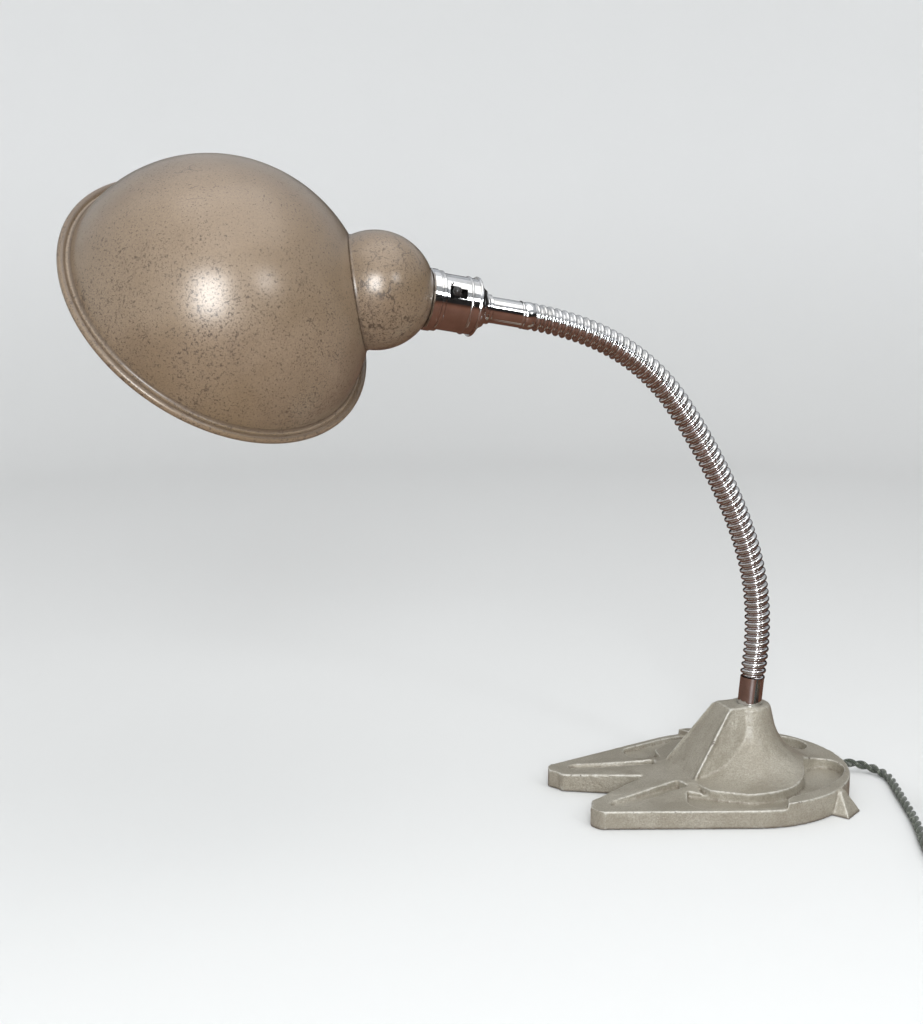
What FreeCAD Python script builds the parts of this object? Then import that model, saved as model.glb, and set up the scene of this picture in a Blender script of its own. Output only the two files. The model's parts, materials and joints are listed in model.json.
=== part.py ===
import FreeCAD, Part
import os
import Sketcher
from math import acos, cos, pi, radians, sin, sqrt, tan

from FreeCAD import Placement, Rotation, Vector

# Gooseneck examination lamp, in millimetres.
# The origin is on the resting plane below the hub. +Z is up, +X points to the rear, where the
# flex leaves the base, and the two legs and the shade reach forward, along -X.

SIZES = {
    # cast base, seen from above
    "rear_radius": 77.8, "rear_centre": -11.3, "side_taper": 17.0, "tip_reach": 132.5,
    "tip_inner": 127.5, "notch_apex": 77.2, "notch_angle": 27.0, "tip_corner": 8.0,
    "leg_height": 12.2, "rim_height": 16.0, "recess_floor": 9.0, "rim_width": 5.0,
    "rail_front": 118.0, "rail_half": 22.0, "rail_outer": 44.0, "groove_floor": 10.2,
    "plateau_front": 54.0, "step_inner": 4.0, "step_outer": 14.0, "web_half": 9.8,
    "groove_half": 4.8, "groove_front": 112.5, "groove_back": 60.0,
    "groove_front_y": 36.0, "groove_back_y": 21.5,
    "hollow_radius": 60.0, "hollow_depth": 5.0,
    "lug_half": 9.5, "lug_top_half": 3.2, "lug_depth": 10.0, "lug_out": 11.0, "lug_angle": 56.0,
    # hub
    "hub_height": 58.3, "hub_top_radius": 14.5, "hub_flare": 40.0, "hub_foot_radius": 52.0,
    "hub_cavity_height": 46.0, "hub_cavity_low": 30.0, "hub_cavity_high": 11.0,
    "ramp_top_front": 20.0, "ramp_top_half": 10.5, "ramp_foot_half": 23.0,
    "slot_half": 5.0, "slot_height": 10.2,
    "clamp_x": 38.5, "clamp_half": 13.0, "clamp_spread": 9.0, "clamp_thick": 2.0,
    # lower ferrule and what holds it in the hub
    "tube_radius": 8.0, "ferrule_lean": 5.0, "ferrule_sink": 6.0, "ferrule_rise": 21.3,
    "nipple_radius": 5.0, "wire_bore": 3.6, "nipple_drop": 26.0, "locknut_flats": 17.0,
    "locknut_thick": 5.0, "washer_radius": 10.0, "washer_thick": 1.2, "washer_gap": 1.25,
    # gooseneck
    "hose_radius": 8.5, "hose_bore": 5.4, "link_length": 40.15,
    "ball_gap": 0.25, "inner_flex_radius": 2.8, "cup_depth": 3.2,
    "bend_1": 12.0, "bend_2": 13.7, "bend_3": 9.0, "bend_4": 5.3,
    "bend_5": 5.7, "bend_6": 17.3, "bend_7": 15.8, "bend_8": 10.0,
    "first_bend": 3.4,
    # head, along the lampholder's axis from the face that the shade sits on
    "hose_end": 59.3,
    "collar_near": 29.8, "collar_far": 34.7, "collar_radius": 9.0,
    "cap_near": 24.2, "cap_radius": 17.0, "cap_shoulder": 11.5, "cap_wall": 1.2,
    "bead_radius": 0.9, "body_near": 1.7, "body_radius": 17.0, "body_bead_at": 18.0,
    "ring_radius": 18.7, "ring_waist": 17.4, "ring_front": 6.9,
    "barrel_radius": 13.8, "barrel_wall": 0.9, "barrel_front": 21.5,
    "inner_ring_radius": 16.4, "inner_ring_thick": 5.0, "inner_ring_seat": 8.05,
    "insulator_front": 2.5, "insulator_back": 14.6, "insulator_radius": 15.9, "insulator_nose": 12.8,
    "terminal_radius": 2.0, "terminal_height": 2.4, "terminal_spread": 7.0, "contact_radius": 1.9,
    "plunger_radius": 1.6, "plunger_spread": 4.4, "plunger_out": 3.0,
    "spring_wire": 0.35, "spring_radius": 1.3,
    "switch_lift": 22.0, "switch_centre": 8.8, "switch_slot_long": 11.0, "switch_slot_wide": 8.4,
    "switch_slot_narrow": 6.2,
    "switch_pivot_depth": 10.5, "switch_well_long": 11.4, "switch_lever_half": 2.2,
    "switch_stick_out": 3.2,
    "switch_tilt": 13.0,
    # bulb
    "bulb_radius": 22.5, "bulb_centre": 51.5, "bulb_neck": 10.2, "bulb_cap_radius": 11.0,
    "bulb_cap_front": 25.5, "bulb_cap_back": -0.5, "bulb_glass": 0.8, "bulb_pin_radius": 1.1,
    "bulb_pin_at": 10.5, "bulb_pin_reach": 12.6,
    # shade
    "shade_radius": 92.9, "shade_wall": 1.0, "shade_depth": 85.3, "shade_rim": 98.9,
    "rim_bead": 2.4, "shade_drop": 40.5, "shade_ahead": 125.9, "shade_tilt": 13.3,
    "shade_swivel": 44.5, "dome_radius": 35.4, "dome_centre": 38.2, "dome_wall": 1.0,
    "seat_front": 7.0, "seat_radius": 16.7,
    "seam_bead": 1.1,
    # flex, and the plug on its end
    "flex_radius": 3.0, "exit_height": 6.6, "bush_radius": 5.0, "bush_out": 2.0, "bush_in": 9.0,
    "coil_x": 76.0, "coil_y": -203.0, "coil_inner": 22.0, "coil_outer": 43.0,
    "plug_length": 48.0, "plug_width": 48.0, "plug_base": 9.0, "plug_cover": 13.0,
    "plug_entry": 7.0, "pin_long": 18.0, "pin_sunk": 6.0, "earth_longer": 4.0,
    "plug_screw_at": 24.0, "plug_screw_radius": 3.0, "lie": 0.05, "plug_x": 116.0, "plug_y": -112.0,
}

BENDS = ["bend_1", "bend_2", "bend_3", "bend_4", "bend_5", "bend_6", "bend_7", "bend_8"]

# The loose part of the flex, from the base's rear to the coil and from the coil to the plug.
ROUTE_TO_COIL = [
    (68.5, 0, 6.6), (78.2, 0, 6.6), (86, -3.2, 5.6), (92, -9, 4.5), (95.4, -16.7, 3.6),
    (95.7, -25, 3.05), (91.6, -36.6, 3.05), (86.3, -49, 3.05), (80.2, -63.8, 3.05),
    (73.7, -80, 3.05), (66.6, -97, 3.05), (58.4, -113.8, 3.05), (49.8, -130, 3.05),
    (42, -146.4, 3.05), (36.4, -162, 3.05), (33.6, -176.6, 3.05), (33, -190, 3.05),
]
ROUTE_TO_PLUG = [
    (119, -195, 9.0), (119.6, -184, 7.7), (118.6, -172, 5.4), (116.8, -160, 4.4),
    (116.1, -149, 5.7), (116, -137, 7.0),
]

doc = FreeCAD.newDocument("examination_lamp")
nodes = []


# ---- sizes and binding ----------------------------------------------------------------------

class Dim:
    """A size that knows its number and the expression that it comes from."""

    def __init__(self, value, text):
        self.value = value
        self.text = text

    def __add__(self, other):
        other = dim(other)
        return Dim(self.value + other.value, f"({self.text} + {other.text})")

    def __sub__(self, other):
        other = dim(other)
        return Dim(self.value - other.value, f"({self.text} - {other.text})")

    def __mul__(self, other):
        other = dim(other)
        return Dim(self.value * other.value, f"({self.text} * {other.text})")

    def __neg__(self):
        return Dim(-self.value, f"(0 - {self.text})")

    __radd__ = __add__
    __rmul__ = __mul__


def dim(value):
    """A Dim for a plain number, and a Dim as it is."""
    return value if isinstance(value, Dim) else Dim(float(value), f"{float(value):.6f}")


def size(name):
    """The named cell of the sheet."""
    return Dim(SIZES[name], "Sizes." + name)


def mm(name):
    """The named cell's number."""
    return SIZES[name]


def make_sheet():
    """The spreadsheet of driving dimensions."""
    sheet = doc.addObject("Spreadsheet::Sheet", "Sizes")
    for row, (name, value) in enumerate(SIZES.items(), start=1):
        sheet.set(f"A{row}", name)
        sheet.set(f"B{row}", str(value))
        sheet.setAlias(f"B{row}", name)
    doc.recompute()


def bind(item, prop, value):
    """Sets a property and ties it to the sheet."""
    value = dim(value)
    setattr(item, prop, value.value)
    if "Sizes." in value.text:
        item.setExpression(prop, value.text)


def keep(item, label, place=None):
    """Marks an object as a sub-part, under the name of its file."""
    item.Label = label
    if place is not None:
        item.Placement = place
    nodes.append(item)
    return item


# ---- sketches -------------------------------------------------------------------------------

def origin_part(body, role):
    """The body's own origin plane or axis with that role."""
    for feature in body.Origin.OriginFeatures:
        if feature.Role == role:
            return feature
    raise ValueError(role)


def new_sketch(body, role, name, lift=0.0):
    """A sketch on an origin plane, moved along its normal by lift."""
    sketch = body.newObject("Sketcher::SketchObject", name)
    sketch.AttachmentSupport = [(origin_part(body, role), "")]
    sketch.MapMode = "FlatFace"
    lift = dim(lift)
    sketch.AttachmentOffset = at(0, 0, lift.value)
    if "Sizes." in lift.text:
        sketch.setExpression("AttachmentOffset.Base.z", lift.text)
    return sketch


def arc_between(start, end, radius):
    """An arc from start to end. A positive radius has its centre on the left of the way."""
    across = end - start
    half = across.Length / 2
    height = sqrt(max(radius * radius - half * half, 0.0))
    left = Vector(-across.y, across.x, 0).normalize()
    centre = (start + end) * 0.5 + left * (height if radius > 0 else -height)
    circle = Part.Circle(centre, Vector(0, 0, 1), abs(radius))
    first = circle.parameter(start)
    last = circle.parameter(end)
    if radius < 0:
        first, last = last, first
    return Part.ArcOfCircle(circle, first, last)


def add_loop(sketch, points):
    """A closed outline. A point is (x, y), or (x, y, radius) where an arc leads to it."""
    corners = [(dim(p[0]), dim(p[1])) for p in points]
    radii = [p[2] if len(p) > 2 else None for p in points]
    places = [Vector(x.value, y.value, 0) for x, y in corners]
    ends = []
    for number, end in enumerate(places):
        start = places[number - 1]
        radius = radii[number]
        if radius is None:
            edge = sketch.addGeometry(Part.LineSegment(start, end), False)
            ends.append((edge, 1, 2))
            continue
        edge = sketch.addGeometry(arc_between(start, end, dim(radius).value), False)
        backward = dim(radius).value < 0
        ends.append((edge, 2, 1) if backward else (edge, 1, 2))
    for number, (edge, first, last) in enumerate(ends):
        before = ends[number - 1]
        sketch.addConstraint(Sketcher.Constraint("Coincident", before[0], before[2], edge, first))
    for number, (edge, first, last) in enumerate(ends):
        for kind, value in zip(("DistanceX", "DistanceY"), corners[number]):
            tie(sketch, kind, edge, last, value)
        if radii[number] is not None:
            span = dim(radii[number])
            length = span if span.value > 0 else -span
            index = sketch.addConstraint(Sketcher.Constraint("Radius", edge, length.value))
            if "Sizes." in length.text:
                sketch.setExpression(f"Constraints[{index}]", length.text)


def tie(sketch, kind, edge, end, value):
    """Holds one coordinate of a corner."""
    if abs(value.value) < 1e-9:
        axis = -2 if kind == "DistanceX" else -1
        sketch.addConstraint(Sketcher.Constraint("PointOnObject", edge, end, axis))
        return
    index = sketch.addConstraint(Sketcher.Constraint(kind, -1, 1, edge, end, value.value))
    if "Sizes." in value.text:
        sketch.setExpression(f"Constraints[{index}]", value.text)


def add_circle(sketch, radius, x=0.0, y=0.0):
    """A circle with its centre at x, y."""
    x, y, radius = dim(x), dim(y), dim(radius)
    centre = Vector(x.value, y.value, 0)
    edge = sketch.addGeometry(Part.Circle(centre, Vector(0, 0, 1), radius.value), False)
    tie(sketch, "DistanceX", edge, 3, x)
    tie(sketch, "DistanceY", edge, 3, y)
    index = sketch.addConstraint(Sketcher.Constraint("Radius", edge, radius.value))
    if "Sizes." in radius.text:
        sketch.setExpression(f"Constraints[{index}]", radius.text)


def mirrored(points):
    """The outline on the other side of the XZ plane, run backwards so that arcs keep their side."""
    flipped = [(p[0], -dim(p[1])) for p in points]
    count = len(points)
    result = []
    for step in range(count):
        number = count - 1 - step
        follower = points[(number + 1) % count]
        corner = flipped[number]
        result.append(corner + (follower[2],) if len(follower) > 2 else corner)
    return result


# ---- PartDesign features --------------------------------------------------------------------

def new_body(name):
    return doc.addObject("PartDesign::Body", name)


def pad(body, name, loops, length, lift=0.0, role="XY_Plane"):
    """Material between the sketch and length above it."""
    sketch = new_sketch(body, role, name + "_sketch", lift)
    for loop in loops:
        add_loop(sketch, loop)
    feature = body.newObject("PartDesign::Pad", name)
    feature.Profile = sketch
    bind(feature, "Length", length)
    doc.recompute()
    return feature


def pocket(body, name, loops, top, floor):
    """A hollow from top down to floor, open upward. It raises an error where it cuts nothing."""
    before = body.Shape.Volume
    sketch = new_sketch(body, "XY_Plane", name + "_sketch", top)
    for loop in loops:
        add_loop(sketch, loop)
    feature = body.newObject("PartDesign::Pocket", name)
    feature.Profile = sketch
    bind(feature, "Length", dim(top) - floor)
    doc.recompute()
    if body.Shape.Volume > before - 1:
        raise RuntimeError(name + " cuts nothing")
    return feature


def turned(name, points, angle=360.0):
    """A body turned about Z from an outline of (radius, height) points."""
    body = new_body(name)
    sketch = new_sketch(body, "XZ_Plane", name + "_outline")
    add_loop(sketch, points)
    feature = body.newObject("PartDesign::Revolution", name + "_turn")
    feature.Profile = sketch
    feature.ReferenceAxis = (origin_part(body, "Z_Axis"), [""])
    feature.Angle = angle
    doc.recompute()
    return body


def sleeve(name, outer, inner, low, high):
    """A plain tube along Z."""
    return turned(name, [(inner, low), (outer, low), (outer, high), (inner, high)])


# ---- Part primitives ------------------------------------------------------------------------

def cylinder(name, radius, height, place=None):
    item = doc.addObject("Part::Cylinder", name)
    bind(item, "Radius", radius)
    bind(item, "Height", height)
    item.Placement = place or Placement()
    return item


def block(name, length, width, height, place=None):
    item = doc.addObject("Part::Box", name)
    bind(item, "Length", length)
    bind(item, "Width", width)
    bind(item, "Height", height)
    item.Placement = place or Placement()
    return item


def ball(name, radius, place=None):
    item = doc.addObject("Part::Sphere", name)
    bind(item, "Radius", radius)
    item.Placement = place or Placement()
    return item


def fused(name, *items):
    item = doc.addObject("Part::MultiFuse", name)
    item.Shapes = list(items)
    doc.recompute()
    return item


def grouped(name, *items):
    """Separate solids in one sub-part."""
    item = doc.addObject("Part::Compound", name)
    item.Links = list(items)
    doc.recompute()
    return item


def cut(name, base, *tools):
    """The base without the tools. Each tool has to take something away."""
    item = doc.addObject("Part::Cut", name)
    item.Base = base
    item.Tool = tools[0] if len(tools) == 1 else fused(name + "_tools", *tools)
    doc.recompute()
    if item.Shape.Volume > base.Shape.Volume - 0.01:
        raise RuntimeError(name + " cuts nothing")
    return item


# ---- places ---------------------------------------------------------------------------------

def at(x, y, z):
    """A placement that only moves."""
    return Placement(Vector(x, y, z), Rotation())


def frame_at(place, along, up):
    """A placement whose local Z runs along, with local X as near as may be to up."""
    return Placement(Vector(*place), Rotation(Vector(*up), Vector(), Vector(*along), "ZXY"))


def neck_places():
    """Each joint ball of the neck: its x, z and the hose's heading there, in degrees from +X."""
    lean = radians(mm("ferrule_lean"))
    rise = mm("hub_height") + mm("ferrule_rise") * cos(lean)
    x, z = mm("ferrule_rise") * sin(lean), rise
    heading = 90 - mm("ferrule_lean") + -mm("first_bend")
    frames = []
    for name in BENDS:
        frames.append((x, z, heading))
        bend = radians(mm(name))
        radius = mm("link_length") / bend
        turn = radians(heading)
        x += radius * (sin(turn + bend) - sin(turn))
        z += radius * (cos(turn) - cos(turn + bend))
        heading += mm(name)
    frames.append((x, z, heading))
    return frames


def neck_frames():
    """The placement of each joint ball: local Z along the hose, local X up and back."""
    return [link_frame(*place) for place in neck_places()]


def link_frame(x, z, heading):
    turn = radians(heading)
    return frame_at((x, 0, z), (cos(turn), 0, sin(turn)), (sin(turn), 0, -cos(turn)))


def head_frame():
    """Local Z forward along the lampholder's axis, local X up, at the shade's seat."""
    return neck_frames()[-1] * at(0, 0, mm("hose_end"))


def shade_turn():
    """The head's frame, turned about the lampholder's axis as the shade is."""
    return head_frame() * Placement(Vector(), Rotation(Vector(0, 0, 1), -mm("shade_swivel")))


def bowl_frame():
    """Local Z along the bowl's own axis, out of its crown, with the bowl's centre at the origin."""
    tilt = radians(mm("shade_tilt"))
    along = (cos(tilt), 0, -sin(tilt))
    return shade_turn() * frame_at(bowl_centre(), along, (sin(tilt), 0, cos(tilt)))


# ---- cast base ------------------------------------------------------------------------------

def side_line(inset):
    """The side edge, moved in by inset: where it leaves the rear arc, and its slope."""
    taper = radians(mm("side_taper"))
    radius = mm("rear_radius") - inset
    return mm("rear_centre") - radius * sin(taper), radius * cos(taper), tan(taper)


def base_outline():
    """The whole outline from above, round both legs and the rear."""
    side_x, side_y, slope = side_line(0)
    corner = mm("tip_corner")
    notch = radians(mm("notch_angle"))
    tip = mm("tip_reach")
    near = mm("tip_inner")
    outer_y = side_y - (side_x + tip) * slope
    inner_y = (near - mm("notch_apex")) * tan(notch)
    inner = [(-near + corner, inner_y - corner * tan(notch)), (-near, inner_y + corner * 0.45, -corner)]
    outer = [(-tip, outer_y - corner * 0.85), (-tip + corner, outer_y + corner * slope, -corner)]
    half = [(-mm("notch_apex"), 0)] + inner + outer + [(side_x, side_y)]
    rear = [(side_x, -side_y, -mm("rear_radius") * 1.0)]
    back = [(-tip + corner, -(outer_y + corner * slope)), (-tip, -(outer_y - corner * 0.85), -corner)]
    back.append((-near, -(inner_y + corner * 0.45)))
    back.append((-near + corner, -(inner_y - corner * tan(notch)), -corner))
    return half, rear, back


def closed_outline():
    half, rear, back = base_outline()
    far = mm("rear_centre") + mm("rear_radius")
    over = [(far, 0, -mm("rear_radius")), rear[0]]
    return half + over + back


def recess_loop():
    """The sunk band on the +Y side: along the plateau, round the rear pocket, back inside the rim."""
    side_x, side_y, slope = side_line(mm("rim_width"))
    front_x = -64.0
    front_y = side_y - (side_x - front_x) * slope
    return [
        (-62.0, 33.0), (-49.0, 42.5), (-30.0, 56.0), (3.0, 53.5, -54.0), (28.0, 26.0, -52.0),
        (35.0, 14.0), (46.0, size("web_half")), (57.0, 18.0, 12.0), (55.0, 33.0, 20.0),
        (35.0, 52.5, 70.0), (12.0, 63.5), (-4.0, 67.0), (-14.0, side_y + 3.0), (side_x, side_y),
        (front_x, front_y), (-68.0, 45.0, 14.0),
    ]


def groove_loop():
    """The round-ended groove along the +Y leg."""
    half = mm("groove_half")
    front = Vector(-mm("groove_front"), mm("groove_front_y"), 0)
    back = Vector(-mm("groove_back"), mm("groove_back_y"), 0)
    along = (back - front).normalize()
    left = Vector(-along.y, along.x, 0) * half
    corners = [front - left, back - left, back + left, front + left]
    loop = [(c.x, c.y) for c in corners]
    loop[0] = loop[0] + (half * 1.001,)
    return loop


def base_casting():
    """Cast base: legs, flange, rear rim and hub, hollow below."""
    body = new_body("base_blank")
    pad(body, "legs", [closed_outline()], size("leg_height"))
    add_plateau(body)
    add_rails(body)
    add_hub(body)
    add_ramp(body)
    above = size("rim_height") + 4
    recess = recess_loop()
    pocket(body, "side_recess", [recess, mirrored(recess)], above, size("recess_floor"))
    groove = groove_loop()
    pocket(body, "leg_groove", [groove, mirrored(groove)], above, size("groove_floor"))
    shell = fused("base_with_lugs", body, lug("lug_left", 1), lug("lug_right", -1))
    casting = cut("base_casting", shell, *base_hollows())
    keep(casting, "base_casting")


def add_plateau(body):
    """The raised middle, the web behind it and the rear rim, all at the rim's height."""
    centre = mm("rear_centre")
    radius = mm("rear_radius")
    inner = -mm("step_inner")
    outer = -mm("step_outer")
    outer_y = sqrt(radius ** 2 - (outer - centre) ** 2)
    front = -mm("plateau_front")
    loop = [
        (front, 24.0), (-50.0, 42.5), (-31.0, 57.0), (inner, 60.0), (outer, outer_y),
        (centre + radius, 0, -radius), (outer, -outer_y, -radius), (inner, -60.0),
        (-31.0, -57.0), (-50.0, -42.5), (front, -24.0),
    ]
    pad(body, "plateau", [loop], size("rim_height"))


def add_rails(body):
    """Each leg's inner side, which climbs from its tip to the plateau's height."""
    low = size("leg_height") - 2
    tall = size("leg_height")
    outer = size("rail_outer")
    for side, word in ((1, "left"), (-1, "right")):
        tip = new_sketch(body, "YZ_Plane", f"rail_tip_{word}", -size("rail_front"))
        half = size("rail_half")
        crest = [(outer, tall), (half, tall + 0.3), (0, tall + 0.4)]
        add_loop(tip, sided(side, [(0, low), (outer, low)] + crest))
        root = new_sketch(body, "YZ_Plane", f"rail_root_{word}", -size("plateau_front"))
        top = size("rim_height")
        add_loop(root, sided(side, [(0, low), (outer, low), (outer, tall), (half, top), (0, top)]))
        loft = body.newObject("PartDesign::AdditiveLoft", f"rail_{word}")
        loft.Profile = tip
        loft.Sections = [root]
        loft.Ruled = True
        doc.recompute()
    reach = mm("tip_reach") + 10
    wide = (reach - mm("notch_apex")) * tan(radians(mm("notch_angle")))
    notch = [(-size("notch_apex"), 0), (-reach, wide), (-reach, -wide)]
    pocket(body, "notch", [notch], size("rim_height") + 4, 0.0)


def sided(side, points):
    """The outline as it is, or mirrored in its first coordinate."""
    return points if side > 0 else [(-dim(y), z) for y, z in reversed(points)]


def add_hub(body):
    """The hub, a post whose side sweeps out in one concave curve."""
    sketch = new_sketch(body, "XZ_Plane", "hub_outline")
    top = size("hub_height")
    radius = size("hub_top_radius")
    foot = size("hub_foot_radius")
    add_loop(sketch, [
        (0, 2.0), (foot, 2.0), (foot, size("rim_height")),
        (radius + 1.5, top - 9, -size("hub_flare")), (radius, top - 3), (radius - 3, top, 3.2),
        (0, top),
    ])
    feature = body.newObject("PartDesign::Revolution", "hub")
    feature.Profile = sketch
    feature.ReferenceAxis = (origin_part(body, "Z_Axis"), [""])
    feature.Angle = 360.0
    doc.recompute()


def add_ramp(body):
    """The flat-faced wedge that runs from the front of the hub's top down between the legs."""
    foot = new_sketch(body, "XY_Plane", "ramp_foot", size("leg_height") - 4)
    reach = size("plateau_front") + 2
    wide = size("ramp_foot_half")
    add_loop(foot, [(-reach, -wide), (0, -wide), (0, wide), (-reach, wide)])
    head = new_sketch(body, "XY_Plane", "ramp_head", size("hub_height"))
    narrow = size("ramp_top_half")
    front = size("ramp_top_front")
    add_loop(head, [(-front, -narrow), (0, -narrow), (0, narrow), (-front, narrow)])
    loft = body.newObject("PartDesign::AdditiveLoft", "ramp")
    loft.Profile = foot
    loft.Sections = [head]
    loft.Ruled = True
    doc.recompute()


def lug(name, side):
    """A small buttress at the rear corner, wider at its foot."""
    foot = size("lug_half")
    item = doc.addObject("Part::Wedge", name)
    bind(item, "Xmin", -foot)
    bind(item, "Xmax", foot)
    bind(item, "X2min", -size("lug_top_half"))
    bind(item, "X2max", size("lug_top_half"))
    bind(item, "Ymin", 0)
    bind(item, "Ymax", size("rim_height") - 1)
    bind(item, "Zmin", -size("lug_depth"))
    bind(item, "Zmax", size("lug_out"))
    bind(item, "Z2min", -size("lug_depth"))
    bind(item, "Z2max", 2.0)
    angle = mm("lug_angle") * side
    turn = radians(angle)
    place = (mm("rear_centre") + mm("rear_radius") * cos(turn), mm("rear_radius") * sin(turn), 0)
    out = Vector(cos(turn), sin(turn), 0)
    item.Placement = Placement(Vector(*place), Rotation(Vector(), Vector(0, 0, 1), out, "YZX"))
    return item


def base_hollows():
    """What is taken out of the casting: its underside, the wire way and the bores."""
    under = cylinder("under_hollow", size("hollow_radius"), size("hollow_depth") + 1)
    under.Placement = at(mm("rear_centre"), 0, -1)
    core = doc.addObject("Part::Cone", "hub_hollow")
    bind(core, "Radius1", size("hub_cavity_low"))
    bind(core, "Radius2", size("hub_cavity_high"))
    bind(core, "Height", size("hub_cavity_height"))
    way = block("wire_way", size("hollow_radius"), size("slot_half") * 2, size("slot_height") + 1)
    way.Placement = at(0, -mm("slot_half"), -1)
    reach = mm("rear_centre") + mm("rear_radius")
    bush = cylinder("bush_bore", size("bush_radius"), size("bush_in") + 12)
    bush.Placement = frame_at((reach - mm("bush_in") - 9, 0, mm("exit_height")), (1, 0, 0), (0, 0, 1))
    sunk = ferrule_frame(-mm("ferrule_sink"))
    seat = cylinder("ferrule_bore", size("tube_radius"), size("ferrule_sink") + 10, sunk)
    bore = cylinder("nipple_bore", size("nipple_radius"), 30.0, ferrule_frame(-mm("nipple_drop") - 2))
    return [under, core, way, bush, seat, bore]


def ferrule_frame(along):
    """On the lower ferrule's axis, that far above the hub's top."""
    lean = radians(mm("ferrule_lean"))
    place = (along * sin(lean), 0, mm("hub_height") + along * cos(lean))
    return frame_at(place, (sin(lean), 0, cos(lean)), (cos(lean), 0, -sin(lean)))


def lower_ferrule():
    """The chromed tube between hub and hose, with the cup for the first ball."""
    low = -size("ferrule_sink")
    high = size("ferrule_rise") - size("cup_depth")
    tube = sleeve("lower_ferrule_tube", size("tube_radius"), size("nipple_radius"), low, high)
    tube.Placement = ferrule_frame(0)
    joint = ferrule_frame(mm("ferrule_rise"))
    cup = ball("lower_ferrule_cup", size("hose_radius") + size("ball_gap"), joint)
    keep(cut("lower_ferrule", tube, cup), "lower_ferrule")


def hub_fixing():
    """The threaded nipple through the hub's roof, with its washer and locknut below."""
    under_roof = -(mm("hub_height") - mm("hub_cavity_height"))
    bore = size("nipple_radius")
    nipple = sleeve("hub_nipple", bore, size("wire_bore"), -size("nipple_drop"), size("cup_depth"))
    keep(nipple, "hub_nipple", ferrule_frame(0))
    washer = sleeve("hub_washer", size("washer_radius"), bore, -size("washer_thick"), 0.0)
    washer_top = under_roof - mm("washer_gap")
    keep(washer, "hub_washer", ferrule_frame(washer_top))
    body = new_body("hub_locknut")
    sketch = new_sketch(body, "XY_Plane", "hub_locknut_sketch")
    corner = mm("locknut_flats") / 2 / cos(pi / 6)
    add_loop(sketch, [(corner * cos(k * pi / 3), corner * sin(k * pi / 3)) for k in range(6)])
    add_circle(sketch, size("nipple_radius"))
    thick = body.newObject("PartDesign::Pad", "hub_locknut_pad")
    thick.Profile = sketch
    bind(thick, "Length", size("locknut_thick"))
    doc.recompute()
    nut_foot = washer_top - mm("washer_thick") - mm("locknut_thick")
    keep(body, "hub_locknut", ferrule_frame(nut_foot))


def wire_clamp():
    """The saddle that holds the flex under the base, and its two screws."""
    roof = mm("hollow_depth")
    thick = mm("clamp_thick")
    x = mm("clamp_x")
    low = at(x - 4.5, -mm("clamp_half"), roof - thick)
    plate = block("clamp_plate", 9.0, size("clamp_half") * 2, thick, low)
    relief = cylinder("clamp_relief", size("flex_radius") + 0.05, 11.0)
    relief.Placement = frame_at((x - 5.5, 0, mm("exit_height")), (1, 0, 0), (0, 0, 1))
    holes = []
    screws = []
    for number, side in enumerate((-1, 1)):
        y = side * mm("clamp_spread")
        holes.append(cylinder(f"clamp_hole_{number}", 1.5, thick + 2, at(x, y, roof - thick - 1)))
        shank = cylinder(f"clamp_shank_{number}", 1.5, thick, at(x, y, roof - thick))
        head = cylinder(f"clamp_head_{number}", 2.8, 1.6, at(x, y, roof - thick - 1.6))
        screws.append(fused(f"clamp_screw_{number}", shank, head))
    keep(cut("wire_clamp", plate, relief, *holes), "wire_clamp")
    keep(grouped("clamp_screws", *screws), "clamp_screws")


def cord_bush():
    """The rubber bush in the rear of the base."""
    reach = mm("rear_centre") + mm("rear_radius")
    inner = size("flex_radius")
    outer = size("bush_radius")
    points = [
        (inner, -size("bush_in")), (outer, -size("bush_in")), (outer, 0.0), (outer + 1.3, 0.0),
        (outer + 1.3, 1.2), (outer, size("bush_out")), (inner, size("bush_out")),
    ]
    place = frame_at((reach, 0, mm("exit_height")), (1, 0, 0), (0, 0, 1))
    keep(turned("cord_bush", points), "cord_bush", place)


# ---- gooseneck ------------------------------------------------------------------------------

def bent_rod(radius, bend):
    """A round rod of one link's length, bent towards -X from the origin."""
    section = Part.Face(Part.Wire([Part.Circle(Vector(), Vector(0, 0, 1), radius).toShape()]))
    centre = Vector(-mm("link_length") / radians(bend), 0, 0)
    return section.revolve(centre, Vector(0, -1, 0), bend)


def link_end(bend):
    """The next joint ball, in the frame of this one."""
    radius = mm("link_length") / radians(bend)
    turn = Placement(Vector(-radius, 0, 0), Rotation(Vector(0, -1, 0), bend))
    return turn * at(radius, 0, 0)


def shortened(shape, bend, cut_back, clear):
    """The shape without what passes the next joint's plane, less cut_back, or comes near its ball."""
    trim = Part.makeBox(60, 60, 30, Vector(-30, -30, -cut_back))
    trim.Placement = link_end(bend)
    cup = Part.makeSphere(clear)
    cup.Placement = link_end(bend)
    return shape.cut(trim).cut(cup)


def neck_link(label, bend):
    """One length of the hose, bent as it stands: a ball at its foot and a cup at its head."""
    tube = bent_rod(mm("hose_radius"), bend).fuse(Part.makeSphere(mm("hose_radius")))
    bore = Part.makeCylinder(mm("hose_bore"), 20, Vector(0, 0, -20))
    shape = tube.cut(bent_rod(mm("hose_bore"), bend)).cut(bore)
    shape = shortened(shape, bend, mm("cup_depth"), mm("hose_radius") + mm("ball_gap"))
    item = doc.addObject("Part::Feature", label)
    item.Shape = shape.removeSplitter()
    return item


def neck_wire(label, bend):
    """The flex inside one length of the hose, round-ended at the joint so that it can turn there."""
    radius = mm("inner_flex_radius")
    shape = bent_rod(radius, bend).fuse(Part.makeSphere(radius))
    shape = shortened(shape, bend, radius * 0.4, radius + mm("ball_gap"))
    item = doc.addObject("Part::Feature", label)
    item.Shape = shape.removeSplitter()
    return item


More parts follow.
